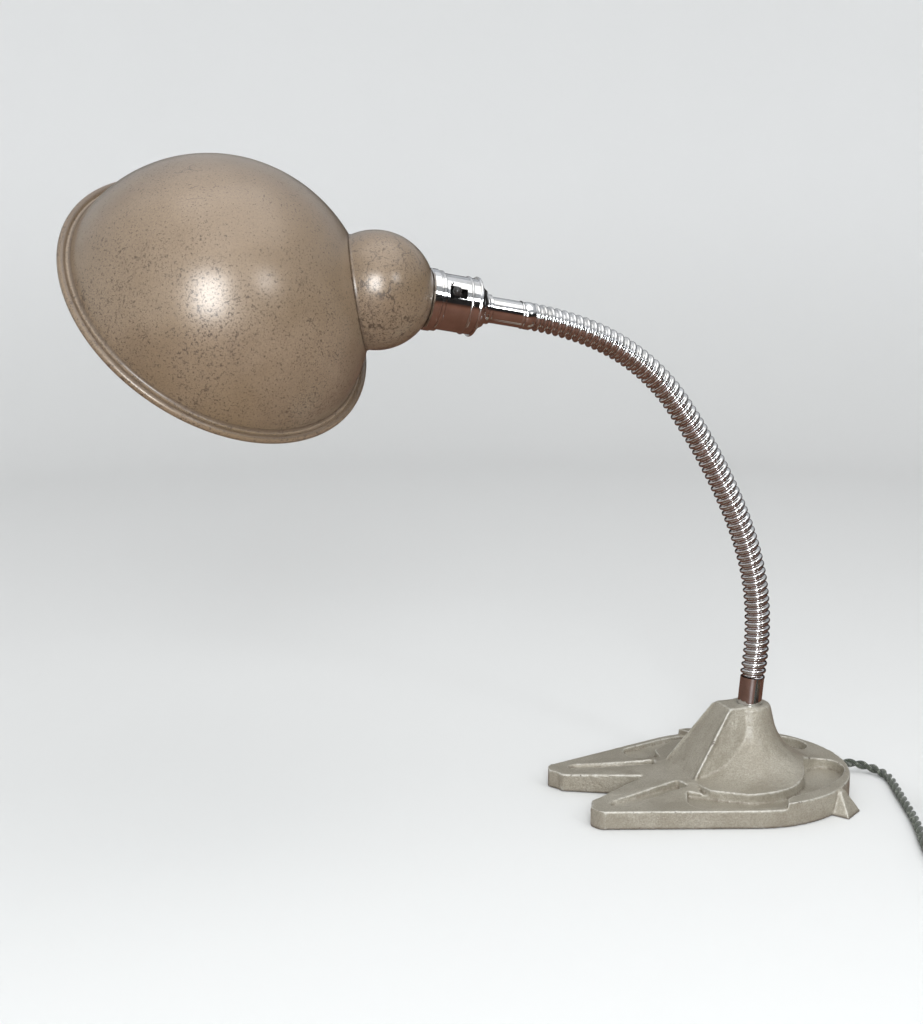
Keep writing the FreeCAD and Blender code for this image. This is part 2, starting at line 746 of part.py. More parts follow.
def neck_links():
    """The hose's lengths and the flex in them, from the base up, each placed by its lower ball."""
    frames = neck_frames()
    for number, name in enumerate(BENDS):
        keep(neck_link(f"neck_link_{number + 1}", mm(name)), f"neck_link_{number + 1}", frames[number])
        keep(neck_wire(f"neck_flex_{number + 1}", mm(name)), f"neck_flex_{number + 1}", frames[number])


def flex_in_head():
    """The flex from the last joint to the lampholder's terminals, and the two terminal screws."""
    radius = mm("inner_flex_radius")
    low = -mm("hose_end")
    rod = cylinder("flex_in_head_rod", radius, -mm("insulator_back") - mm("terminal_height") - low)
    rod.Placement = at(0, 0, low)
    foot = ball("flex_in_head_ball", radius, at(0, 0, low))
    keep(fused("flex_in_head", rod, foot), "flex_in_head", head_frame())
    screws = []
    tall = mm("terminal_height")
    for number, side in enumerate((-1, 1)):
        place = at(side * mm("terminal_spread"), 0, -mm("insulator_back") - tall)
        screws.append(cylinder(f"terminal_screw_{number}", size("terminal_radius"), tall, place))
    keep(grouped("terminal_screws", *screws), "terminal_screws", head_frame())


# ---- lampholder -----------------------------------------------------------------------------

def upper_ferrule():
    """The chromed tube from the hose's end to the lampholder, with a ball at its foot."""
    end = -size("hose_end")
    radius = size("tube_radius")
    bore = size("hose_bore")
    collar = size("collar_radius")
    tube = turned("upper_ferrule_tube", [
        (bore, end), (radius, end), (radius, -size("collar_far")), (collar, -size("collar_far") + 0.8),
        (collar, -size("collar_far") + 2.4), (radius + 0.4, -size("collar_far") + 3.2),
        (radius + 0.4, -size("collar_near")), (bore, -size("collar_near")),
    ])
    foot = ball("upper_ferrule_ball", size("hose_radius"), at(0, 0, -mm("hose_end")))
    whole = fused("upper_ferrule_whole", tube, foot)
    way = cylinder("upper_ferrule_way", bore, 30.0, at(0, 0, -mm("hose_end") - 20))
    keep(cut("upper_ferrule", whole, way), "upper_ferrule", head_frame())


def lampholder_shell():
    """The lampholder's outside: domed cap, bead, body with its switch slot, and the two shade rings."""
    wall = size("cap_wall")
    outer = size("cap_radius")
    cap_back = -size("collar_near")
    cap = turned("lampholder_cap", [
        (size("hose_bore") + 1, cap_back), (size("cap_shoulder"), cap_back),
        (outer - 1.6, -size("cap_near") - 1.5, -9.0), (outer - 0.6, -size("cap_near")),
        (outer - 0.6 - wall, -size("cap_near")), (outer - 2.8, -size("cap_near") - 1.6),
        (size("cap_shoulder") - 1.2, cap_back + wall), (size("hose_bore") + 1, cap_back + wall),
    ])
    keep(cap, "lampholder_cap", head_frame())
    round_out = outer + size("bead_radius")
    bead_front = -size("cap_near") + 1.4
    bead = turned("cap_ring", [
        (outer - 1.0, -size("cap_near")), (round_out, -size("cap_near")),
        (round_out, bead_front, 0.9), (outer - 1.0, bead_front),
    ])
    keep(bead, "cap_ring", head_frame())
    body = turned("lampholder_tube", [
        (outer - 1.0, bead_front), (outer, bead_front),
        (outer, -size("body_bead_at") - 0.9), (outer, -size("body_bead_at") + 0.9, 0.95),
        (outer, -size("body_near")),
        (size("barrel_radius"), -size("body_near")), (size("barrel_radius"), -size("body_near") - 1.4),
        (outer - 1.0, -size("body_near") - 1.4),
    ])
    long = mm("switch_slot_long") / 2
    half = mm("switch_slot_wide") / 2
    lap = mm("switch_slot_narrow") / 2
    wide = block("switch_slot_front", 10.0, size("switch_slot_wide"), long)
    wide.Placement = switch_frame() * at(10, -half, 0)
    narrow = block("switch_slot_back", 10.0, size("switch_slot_narrow"), long + 1)
    narrow.Placement = switch_frame() * at(10, -lap, -long)
    shell = cut("lampholder_slotted", body, wide, narrow)
    beside = at(mm("body_radius") - 0.3, half + 1.6, long - 1.2)
    rivet = ball("switch_rivet", 0.9, switch_frame() * beside)
    keep(fused("lampholder_body", shell, rivet), "lampholder_body", head_frame())


def switch_frame():
    """In the head's frame: local X out through the switch slot's middle, local Z forward."""
    turn = 90 - mm("switch_lift")
    return Placement(Vector(0, 0, -mm("switch_centre")), Rotation(Vector(0, 0, 1), -turn))


def lampholder_barrel():
    """The threaded front sleeve that the shade and its rings sit on, with two bayonet slots."""
    radius = size("barrel_radius")
    inner = radius - size("barrel_wall")
    tube = sleeve("barrel_tube", radius, inner, -size("body_near") - 1.4, size("barrel_front"))
    slots = []
    for side in (0, 180):
        turn = Placement(Vector(), Rotation(Vector(0, 0, 1), side))
        run = block(f"bayonet_run_{side}", 6.0, 2.8, 14.0)
        run.Placement = turn * at(10, -1.4 + 2.4, mm("bulb_pin_at") - 2)
        hook = block(f"bayonet_hook_{side}", 6.0, 5.2, 2.8)
        hook.Placement = turn * at(10, -1.4, mm("bulb_pin_at") - 1.4)
        slots += [run, hook]
    keep(cut("lampholder_barrel", tube, *slots), "lampholder_barrel", head_frame())


def shade_rings():
    """The two rings that clamp the shade's neck: a ridged one outside and a plain one inside."""
    inner = size("barrel_radius")
    outer = size("ring_radius")
    waist = size("ring_waist")
    near = -size("body_near")
    points = [
        (inner, near), (waist, near), (outer - 0.5, near + 0.8), (outer - 0.5, near + 2.3),
        (waist, near + 3.0),
        (waist, near + 3.6), (outer, near + 4.3), (outer, size("ring_front") - 0.8),
        (outer - 0.8, size("ring_front")), (inner, size("ring_front")),
    ]
    keep(turned("shade_ring_outer", points), "shade_ring_outer", head_frame())
    low = size("inner_ring_seat")
    high = low + size("inner_ring_thick")
    wide = size("inner_ring_radius")
    points = [(inner, low), (wide, low), (wide, low + 2.6), (wide - 0.8, high), (inner, high)]
    keep(turned("shade_ring_inner", points), "shade_ring_inner", head_frame())


def insulator():
    """The moulded core that carries the two sprung contacts."""
    back = -size("insulator_back")
    step = -size("body_near") - 1.5
    front = -size("insulator_front")
    wide = size("insulator_radius")
    nose = size("insulator_nose")
    core = turned("insulator_core", [
        (0, back), (wide, back), (wide, step), (nose, step), (nose, front), (0, front),
    ])
    tools = []
    for side in (-1, 1):
        hole = cylinder(f"plunger_hole_{side + 1}", size("plunger_radius") + 0.06, 9.0)
        hole.Placement = at(0, side * mm("plunger_spread"), -mm("insulator_front") - 8.5)
        tools.append(hole)
    well = mm("switch_pivot_depth") - 2.8
    pivot = block("switch_well", 12.0, size("switch_slot_wide"), size("switch_well_long"))
    corner = Vector(well, -mm("switch_slot_wide") / 2, -mm("switch_well_long") / 2)
    pivot.Placement = switch_frame() * Placement(corner, Rotation())
    tools.append(pivot)
    keep(cut("contact_insulator", core, *tools), "contact_insulator", head_frame())


def plungers():
    """The two contact plungers, each on its spring."""
    front = -mm("insulator_front")
    nose = (mm("plunger_radius") ** 2 + 1) / 2
    for side, word in ((-1, "left"), (1, "right")):
        y = side * mm("plunger_spread")
        pin = turned(f"plunger_{word}_turn", [
            (0, -4.6), (size("plunger_radius"), -4.6),
            (size("plunger_radius"), size("plunger_out") - 1), (0, size("plunger_out"), nose),
        ])
        keep(pin, f"contact_plunger_{word}", head_frame() * at(0, y, front))
        spring = plunger_spring(f"plunger_spring_{word}")
        keep(spring, f"plunger_spring_{word}", head_frame() * at(0, y, front - 8.45))


def plunger_spring(name):
    """A small coil spring, modelled as a stack of rings joined by a thin back strip."""
    rings = []
    for turn in range(4):
        ring = doc.addObject("Part::Torus", f"{name}_ring_{turn}")
        bind(ring, "Radius1", size("spring_radius") - size("spring_wire"))
        bind(ring, "Radius2", size("spring_wire"))
        ring.Placement = at(0, 0, mm("spring_wire") + turn * 1.02)
        rings.append(ring)
    back = cylinder(name + "_back", size("spring_wire") * 0.8, 3.06)
    back.Placement = at(mm("spring_radius") - mm("spring_wire"), 0, mm("spring_wire"))
    return fused(name, back, *rings)


def switch_lever():
    """The black lever of the on-off switch, tilted to one end of its slot, and its pivot pin."""
    half = size("switch_lever_half")
    reach = mm("body_radius") + mm("switch_stick_out") - mm("switch_pivot_depth")
    blade = block("lever_blade", reach, half * 2, half * 2)
    blade.Placement = at(0, -mm("switch_lever_half"), -mm("switch_lever_half"))
    boss = cylinder("lever_boss", half + 0.6, 6.0)
    boss.Placement = frame_at((0, -3.0, 0), (0, 1, 0), (1, 0, 0))
    knob = ball("lever_knob", half + 0.5, at(reach - 1.0, 0, 0))
    lever = fused("switch_lever_whole", blade, boss, knob)
    hole = cylinder("lever_hole", 0.8, 8.0)
    hole.Placement = frame_at((0, -4.0, 0), (0, 1, 0), (1, 0, 0))
    item = cut("switch_lever", lever, hole)
    tilt = at(mm("switch_pivot_depth"), 0, 0)
    tilt.Rotation = Rotation(Vector(0, 1, 0), -mm("switch_tilt"))
    keep(item, "switch_lever", head_frame() * switch_frame() * tilt)
    pin = cylinder("switch_pin", 0.75, 8.4)
    pin.Placement = frame_at((mm("switch_pivot_depth"), -4.2, 0), (0, 1, 0), (1, 0, 0))
    keep(grouped("switch_pivot_pin", pin), "switch_pivot_pin", head_frame() * switch_frame())


# ---- bulb -----------------------------------------------------------------------------------

def bulb():
    """A small round bayonet bulb: glass, cap, locking pins, contacts, stem and filament."""
    radius = mm("bulb_radius")
    wall = mm("bulb_glass")
    neck = mm("bulb_neck")
    centre = mm("bulb_centre")
    front = mm("bulb_cap_front")
    meet = centre - sqrt((radius + 8) ** 2 - (neck + 8) ** 2) * 0.86
    angle = acos((centre - meet - 1.0) / radius)
    wide = radius * sin(angle)
    thin = radius - wall
    glass = turned("bulb_glass", [
        (neck, front - 4), (neck, front + 1), (wide, centre - radius * cos(angle), -9.0),
        (0, centre + radius, radius), (0, centre + thin),
        (thin * sin(angle), centre - thin * cos(angle), -thin), (neck - wall, front + 1, 10.0),
        (neck - wall, front - 4),
    ])
    keep(glass, "bulb_glass", head_frame())
    outer = mm("bulb_cap_radius")
    back = -mm("bulb_cap_back")
    cap = turned("bulb_cap_turn", [
        (0, back), (outer - 1.5, back), (outer, back + 1.5, 1.6), (outer, front), (neck, front),
        (neck, front - 4),
        (outer - 0.6, front - 5), (outer - 0.6, back + 2.4), (0, back + 2.4),
    ])
    spread = mm("plunger_spread")
    wells = []
    for number, y in enumerate((-spread, spread)):
        place = at(0, y, back - 0.5)
        wells.append(cylinder(f"cap_well_{number}", size("contact_radius"), 2.0, place))
    keep(cut("bulb_cap", cap, *wells), "bulb_cap", head_frame())
    pins = []
    for side in (0, 180):
        pin = cylinder(f"bulb_pin_{side}", size("bulb_pin_radius"), mm("bulb_pin_reach") - outer)
        turn = Rotation(Vector(0, 0, 1), side)
        out = frame_at((outer, 0, mm("bulb_pin_at")), (1, 0, 0), (0, 0, 1))
        pin.Placement = Placement(Vector(), turn) * out
        pins.append(pin)
    keep(grouped("bulb_pins", *pins), "bulb_pins", head_frame())
    contacts = []
    for number, y in enumerate((-spread, spread)):
        place = at(0, y, back + 0.3)
        contacts.append(cylinder(f"bulb_contact_{number}", size("contact_radius"), 1.2, place))
    keep(grouped("bulb_contacts", *contacts), "bulb_contacts", head_frame())
    keep(bulb_stem(back + 2.4, centre), "bulb_stem", head_frame())
    coil = doc.addObject("Part::Torus", "filament_ring")
    bind(coil, "Radius1", 7.0)
    bind(coil, "Radius2", 0.3)
    coil.Placement = at(0, 0, centre + 1.45)
    keep(grouped("bulb_filament", coil), "bulb_filament", head_frame())


def bulb_stem(low, centre):
    """The glass stem and the two stiff wires that hold the filament."""
    top = centre - 8
    stem = turned("bulb_stem_turn", [(0, low), (5.0, low), (2.2, low + 14), (1.6, top), (0, top)])
    wires = []
    for number, side in enumerate((-1, 1)):
        start = Vector(side * 1.0, 0, centre - 9)
        end = Vector(side * 7.0, 0, centre + 1.05)
        along = end - start
        place = frame_at(start, along, (0, 1, 0))
        wires.append(cylinder(f"stem_wire_{number}", 0.4, along.Length, place))
    return fused("bulb_stem_whole", stem, *wires)


# ---- shade ----------------------------------------------------------------------------------

def main_shade():
    """The bowl: part of a sphere with a flared, beaded rim, and a hole in its side for the dome."""
    radius = mm("shade_radius")
    wall = mm("shade_wall")
    low = radius - mm("shade_depth")
    edge = sqrt(radius ** 2 - (low + 5) ** 2)
    inner = radius - wall
    inner_edge = sqrt(inner ** 2 - (low + 5) ** 2)
    rim = mm("shade_rim")
    bead = mm("rim_bead")
    bowl = turned("shade_bowl", [
        (0, radius), (0, inner), (inner_edge, low + 5, inner * -1.0), (inner_edge + 1.4, low + 1.2),
        (rim - bead, low - bead), (rim, low, bead * 1.01), (rim - bead, low + bead, bead * 1.01),
        (rim - bead - 1.4, low + 1.6), (edge + 0.6, low + 3.4), (edge, low + 5), (0, radius, radius),
    ][1:])
    bowl.Placement = bowl_frame()
    toward = dome_direction()
    hole = cylinder("dome_hole", seam_radius() - 0.2, 60.0)
    hole.Placement = shade_turn() * frame_at(bowl_centre() + toward * 60, toward, (0, 1, 0))
    keep(cut("main_shade", bowl, hole), "main_shade")


def bowl_centre():
    """The bowl's centre, in the turned head frame."""
    return Vector(-mm("shade_drop"), 0, mm("shade_ahead"))


def dome_direction():
    """From the bowl's centre towards the neck dome's centre, in the turned head frame."""
    return (Vector(0, 0, mm("dome_centre")) - bowl_centre()).normalize()


def seam_offset():
    """How far from the bowl's centre the two spheres meet."""
    apart = (Vector(0, 0, mm("dome_centre")) - bowl_centre()).Length
    return (apart ** 2 + mm("shade_radius") ** 2 - mm("dome_radius") ** 2) / (2 * apart)


def seam_radius():
    """The radius of the circle in which the two spheres meet."""
    return sqrt(mm("shade_radius") ** 2 - seam_offset() ** 2)


def shade_neck_dome():
    """The small dome between lampholder and bowl, cut where it meets the bowl, and its seam bead."""
    outer = ball("dome_outer", size("dome_radius"), at(0, 0, mm("dome_centre")))
    inner = ball("dome_inner", size("dome_radius") - size("dome_wall"), at(0, 0, mm("dome_centre")))
    bowl = ball("dome_trim", size("shade_radius") + 0.02, Placement(bowl_centre(), Rotation()))
    seat = cylinder("dome_seat_trim", 30.0, 20.0, at(0, 0, mm("seat_front") - 20))
    shell = cut("dome_shell", outer, inner)
    face = size("seat_front")
    bore = size("barrel_radius") + 0.08
    flat = sleeve("dome_seat", size("seat_radius"), bore, face, face + size("dome_wall"))
    whole = fused("dome_whole", shell, flat)
    keep(cut("shade_neck_dome", whole, bowl, seat), "shade_neck_dome", shade_turn())
    ring = doc.addObject("Part::Torus", "seam_ring")
    bind(ring, "Radius1", seam_radius() - 1.9)
    bind(ring, "Radius2", size("seam_bead") * 0.9)
    inside = bowl_centre() + dome_direction() * (seam_offset() - 0.9)
    ring.Placement = frame_at(inside, dome_direction(), (0, 1, 0))
    keep(grouped("shade_seam_ring", ring), "shade_seam_ring", shade_turn())


# ---- flex and plug --------------------------------------------------------------------------

def corner_arc(before, corner, after, radius=None):
    """Where the fillet at a corner starts, its middle and its end, and its radius."""
    back = before - corner
    forward = after - corner
    turn = pi - back.getAngle(forward)
    shorter = min(back.Length, forward.Length)
    radius = radius or 0.45 * shorter / tan(turn / 2)
    reach = radius * tan(turn / 2)
    start = corner + back.normalize() * reach
    end = corner + forward.normalize() * reach
    inward = ((start + end) * 0.5 - corner).normalize()
    middle = corner + inward * (radius / cos(turn / 2) - radius)
    return start, middle, end, radius, turn


def route_wire(points):
    """Straight runs joined by tangent arcs, as one wire, with its length and radii."""
    points = [Vector(*p) for p in points]
    edges = []
    radii = []
    at = points[0]
    for before, corner, after in zip(points, points[1:], points[2:]):
        start, middle, end, radius, turn = corner_arc(before, corner, after)
        edges.append(Part.LineSegment(at, start).toShape())
        edges.append(Part.Arc(start, middle, end).toShape())
        radii.append(radius)
        at = end
    edges.append(Part.LineSegment(at, points[-1]).toShape())
    return Part.Wire(edges), radii


def flex_tube(label, points):
    """A round tube along a route, checked against its section times its length."""
    wire, radii = route_wire(points)
    radius = mm("flex_radius")
    first = wire.Edges[0]
    start = first.FirstParameter
    section = Part.Circle(first.valueAt(start), first.tangentAt(start), radius)
    tube = wire.makePipeShell([Part.Wire([section.toShape()])], True, False)
    wanted = pi * radius ** 2 * wire.Length
    print(label, "length", round(wire.Length, 1), "radii", [round(r, 1) for r in radii])
    print(label, "volume", round(tube.Volume, 1), "wanted", round(wanted, 1))
    if abs(tube.Volume / wanted - 1) > 0.01:
        raise RuntimeError(label + " has the wrong volume")
    item = doc.addObject("Part::Feature", label)
    item.Shape = tube
    keep(item, label)


def flex_inside():
    """The flex under the base, from the rear bush to the foot of the hub's nipple."""
    drop = ferrule_frame(-mm("nipple_drop"))
    top = drop.Base
    reach = mm("rear_centre") + mm("rear_radius") + mm("bush_out")
    height = mm("exit_height")
    points = [
        (reach, 0, height), (30, 0, height), (8, 0, height + 3), (top.x - 1.0, 0, top.z - 12),
        tuple(top),
    ]
    flex_tube("flex_in_base", points)


def coil():
    """The outer shape of the wound part of the flex: a round-edged ring, two turns high."""
    radius = mm("flex_radius")
    inner = mm("coil_inner")
    outer = mm("coil_outer")
    low = mm("lie")
    top = low + 4 * radius
    points = [
        (inner, low), (outer, low), (outer + radius, radius, radius * 1.01),
        (outer + radius, top - radius),
        (outer, top, radius * 1.01), (inner, top), (inner - radius, top - radius, radius * 1.01),
        (inner - radius, radius), (inner, low, radius * 1.01),
    ]
    keep(turned("flex_coil", points[1:]), "flex_coil", at(mm("coil_x"), mm("coil_y"), 0))


def plug_outline(inset):
    """The plug's outline from above: wide at the pins, narrow where the flex enters."""
    half = mm("plug_width") / 2 - inset
    length = mm("plug_length")
    return [
        (-half * 0.42, inset), (half * 0.42, inset), (half, 16.0), (half, length - 8),
        (half - 8, length - inset, 8.1),
        (-half + 8, length - inset), (-half, length - 8, 8.1), (-half, 16.0),
    ]


def plug():
    """A plain three-pin plug, lying on its cover with the pins up."""
    place = at(mm("plug_x"), mm("plug_y") - mm("plug_length") / 2, mm("lie"))
    top = mm("plug_cover") + mm("plug_base")
    keep(plug_cover(), "plug_cover", place)
    base = new_body("plug_base_body")
    pad(base, "plug_base_pad", [plug_outline(0.0)], size("plug_base"), size("plug_cover"))
    sunk = at(0, mm("plug_screw_at"), top - 3)
    screw_bore = cylinder("plug_screw_bore", size("plug_screw_radius") + 0.2, 3.0, sunk)
    wells = pin_blocks("plug_well", 0)
    keep(cut("plug_base", base, screw_bore, *wells), "plug_base", place)
    keep(grouped("plug_pins", *pin_blocks("plug_pin", mm("pin_long"))), "plug_pins", place)
    head = cylinder("plug_screw_head", size("plug_screw_radius"), 2.0, sunk)
    keep(grouped("plug_screw", head), "plug_screw", place)


def plug_cover():
    """The cover's shell, with the flex's entry."""
    cover = new_body("plug_cover_body")
    pad(cover, "plug_cover_pad", [plug_outline(1.2)], size("plug_cover"))
    entry = cylinder("plug_entry_bore", size("flex_radius"), 10.0)
    entry.Placement = frame_at((0, -1, mm("plug_entry")), (0, 1, 0), (1, 0, 0))
    hollow = block("plug_hollow", 26.0, 22.0, size("plug_cover") - 2, at(-13, 9, 3))
    return cut("plug_cover", cover, entry, hollow)


def pin_blocks(name, stand_out):
    """A block for each pin, from its foot in the base to stand_out above it."""
    sunk = mm("pin_sunk")
    foot = mm("plug_cover") + mm("plug_base") - sunk
    blocks = []
    for number, (x, y, wide, deep) in enumerate(plug_pins()):
        earth = mm("earth_longer") if number == 0 and stand_out else 0
        place = at(x - wide / 2, y - deep / 2, foot)
        blocks.append(block(f"{name}_{number}", wide, deep, sunk + stand_out + earth, place))
    return blocks


def plug_pins():
    """Each pin's x, y, width and depth: earth first, then the two lower ones."""
    return [(0.0, 38.0, 4.0, 8.0), (-11.1, 15.8, 6.3, 4.0), (11.1, 15.8, 6.3, 4.0)]


# ---- build ----------------------------------------------------------------------------------

def check():
    """Stops on a failed object or a bad shape."""
    for item in doc.Objects:
        if "Invalid" in item.State or "Error" in item.State:
            raise RuntimeError(f"{item.Label} failed: {item.State}")
    for item in nodes:
        shape = item.Shape
        if shape.isNull() or not shape.isValid() or not shape.Solids:
            raise RuntimeError(item.Label + " has no valid shape")
        print(f"{item.Label:24s} solids {len(shape.Solids)} volume {shape.Volume:10.1f}")


def main():
    make_sheet()
    base_casting()
    lower_ferrule()
    hub_fixing()
    wire_clamp()
    cord_bush()
    neck_links()
    upper_ferrule()
    flex_in_head()
    lampholder_shell()
    lampholder_barrel()
    shade_rings()
    insulator()
    plungers()
    switch_lever()
    bulb()
    main_shade()
    shade_neck_dome()
    flex_inside()
    flex_tube("flex_cord", ROUTE_TO_COIL)
    coil()
    flex_tube("flex_tail", ROUTE_TO_PLUG)
    plug()
    doc.recompute()
    check()
    os.makedirs("parts", exist_ok=True)
    for item in nodes:
        item.Shape.exportStep(f"parts/{item.Label}.step")


main()
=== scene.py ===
"""Gooseneck examination lamp: its looks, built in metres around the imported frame."""

import json
from math import acos, asin, atan2, copysign, cos, pi, radians, sin, sqrt

import bmesh
import bpy
import numpy as np
from mathutils import Matrix, Vector, noise


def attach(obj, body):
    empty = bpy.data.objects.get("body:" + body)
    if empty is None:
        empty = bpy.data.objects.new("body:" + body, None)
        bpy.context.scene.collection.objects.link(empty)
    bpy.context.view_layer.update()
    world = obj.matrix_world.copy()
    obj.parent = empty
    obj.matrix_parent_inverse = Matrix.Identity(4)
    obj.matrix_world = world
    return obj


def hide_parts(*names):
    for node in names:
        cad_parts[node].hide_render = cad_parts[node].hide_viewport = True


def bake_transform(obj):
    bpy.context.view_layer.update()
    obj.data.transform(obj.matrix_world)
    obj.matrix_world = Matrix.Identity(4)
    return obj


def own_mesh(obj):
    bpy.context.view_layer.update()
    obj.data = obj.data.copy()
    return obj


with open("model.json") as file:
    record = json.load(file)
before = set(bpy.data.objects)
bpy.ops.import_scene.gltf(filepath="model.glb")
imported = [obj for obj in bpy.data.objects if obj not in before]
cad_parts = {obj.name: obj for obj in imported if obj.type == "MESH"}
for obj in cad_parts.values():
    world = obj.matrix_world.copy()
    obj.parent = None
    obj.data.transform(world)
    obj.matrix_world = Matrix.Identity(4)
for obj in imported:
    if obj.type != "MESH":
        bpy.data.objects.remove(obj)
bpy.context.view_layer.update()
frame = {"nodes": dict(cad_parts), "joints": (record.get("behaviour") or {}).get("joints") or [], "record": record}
MM = 0.001

# ---- driving dimensions, in millimetres -----------------------------------------------------

# The hose: its ridges' depth, spacing and share of a turn, and how far it goes past the joints.
HOSE_LINKS = 8
HOSE_RADIUS = 8.5
HOSE_GROOVE = 1.9
HOSE_PITCH = 4.84
HOSE_CROWN = 0.66
HOSE_SUNK = 3.0
HOSE_LAP = 5.5

FLEX_RADIUS = 3.0
FLEX_TWIST = 17.0
BRAID_REPEAT = 1.6
TIE_HALF = 2.2

SHADE_RADIUS = 92.9
SHADE_WALL = 1.0
SHADE_DEPTH = 85.3
SHADE_RIM = 98.9
RIM_BEAD = 2.4
RIM_OVERLAP = 3.2
SEAM_LIP = 1.8
SHADE_DROP = 40.5
SHADE_AHEAD = 125.9
SHADE_TILT = radians(13.3)
SHADE_SWIVEL = radians(44.5)
DOME_RADIUS = 35.4
DOME_CENTRE = 38.2
SEAT_RADIUS = 16.7

# The casting's rough skin: the voxels that soften its edges, and how deep its hollows are.
VOXEL = 0.8
SKIN_DEPTH = 0.16
RIDGE_RADIUS = 1.1

# A point near the middle of the +Y leg's tip, and the radius that the tip is rounded to.
TIP_MIDDLE = (-119.5, 35.2)
TIP_RADIUS = 12.0

# The edge of the hub's sloping face, on the +Y side.
RIDGE_TOP = (-21.2, 10.9, 56.6)
RIDGE_MIDDLE = (-36.0, 16.1, 36.0)
RIDGE_FOOT = (-50.2, 21.0, 16.6)

# The flex's route from the base to the coil, and from the coil to the plug.
ROUTE_TO_COIL = [
    (68.5, 0, 6.6), (78.2, 0, 6.6), (86, -3.2, 5.6), (92, -9, 4.5), (95.4, -16.7, 3.6),
    (95.7, -25, 3.05), (91.6, -36.6, 3.05), (86.3, -49, 3.05), (80.2, -63.8, 3.05),
    (73.7, -80, 3.05), (66.6, -97, 3.05), (58.4, -113.8, 3.05), (49.8, -130, 3.05),
    (42, -146.4, 3.05), (36.4, -162, 3.05), (33.6, -176.6, 3.05), (33, -190, 3.05),
]
ROUTE_TO_PLUG = [
    (119, -195, 9.0), (119.6, -184, 7.7), (118.6, -172, 5.4), (116.8, -160, 4.4),
    (116.1, -149, 5.7), (116, -137, 7.0),
]
COIL_CENTRE = (76.0, -203.0)
COIL_INNER = 22.0
COIL_OUTER = 43.0


# ---- places ---------------------------------------------------------------------------------

JOINT = {j["name"]: j for j in frame["joints"]}


def axes_at(place, along, up):
    """A matrix whose local Z runs along and whose local X is as near as may be to up."""
    z = Vector(along).normalized()
    y = z.cross(Vector(up)).normalized()
    x = y.cross(z)
    matrix = Matrix((x, y, z)).transposed().to_4x4()
    matrix.translation = Vector(place)
    return matrix


def head_place():
    """The lampholder's frame: local Z forward along its axis from the shade's seat, local X up."""
    swivel = JOINT["shade_swivel"]
    return axes_at(swivel["pos_m"], swivel["axis"], (0, 0, 1))


def shade_place():
    """The shade's frame: the lampholder's, turned by the swivel's angle at rest."""
    return head_place() @ Matrix.Rotation(-SHADE_SWIVEL, 4, "Z")


def dome_middle():
    """The centre of the small dome's sphere."""
    return head_place() @ Vector((0, 0, DOME_CENTRE * MM))


def bowl_place():
    """The bowl's frame: local Z out of its crown, its sphere's centre at the origin."""
    axis = (cos(SHADE_TILT), 0, -sin(SHADE_TILT))
    centre = (-SHADE_DROP * MM, 0, SHADE_AHEAD * MM)
    return shade_place() @ axes_at(centre, axis, (sin(SHADE_TILT), 0, cos(SHADE_TILT)))


# ---- shader nodes ---------------------------------------------------------------------------

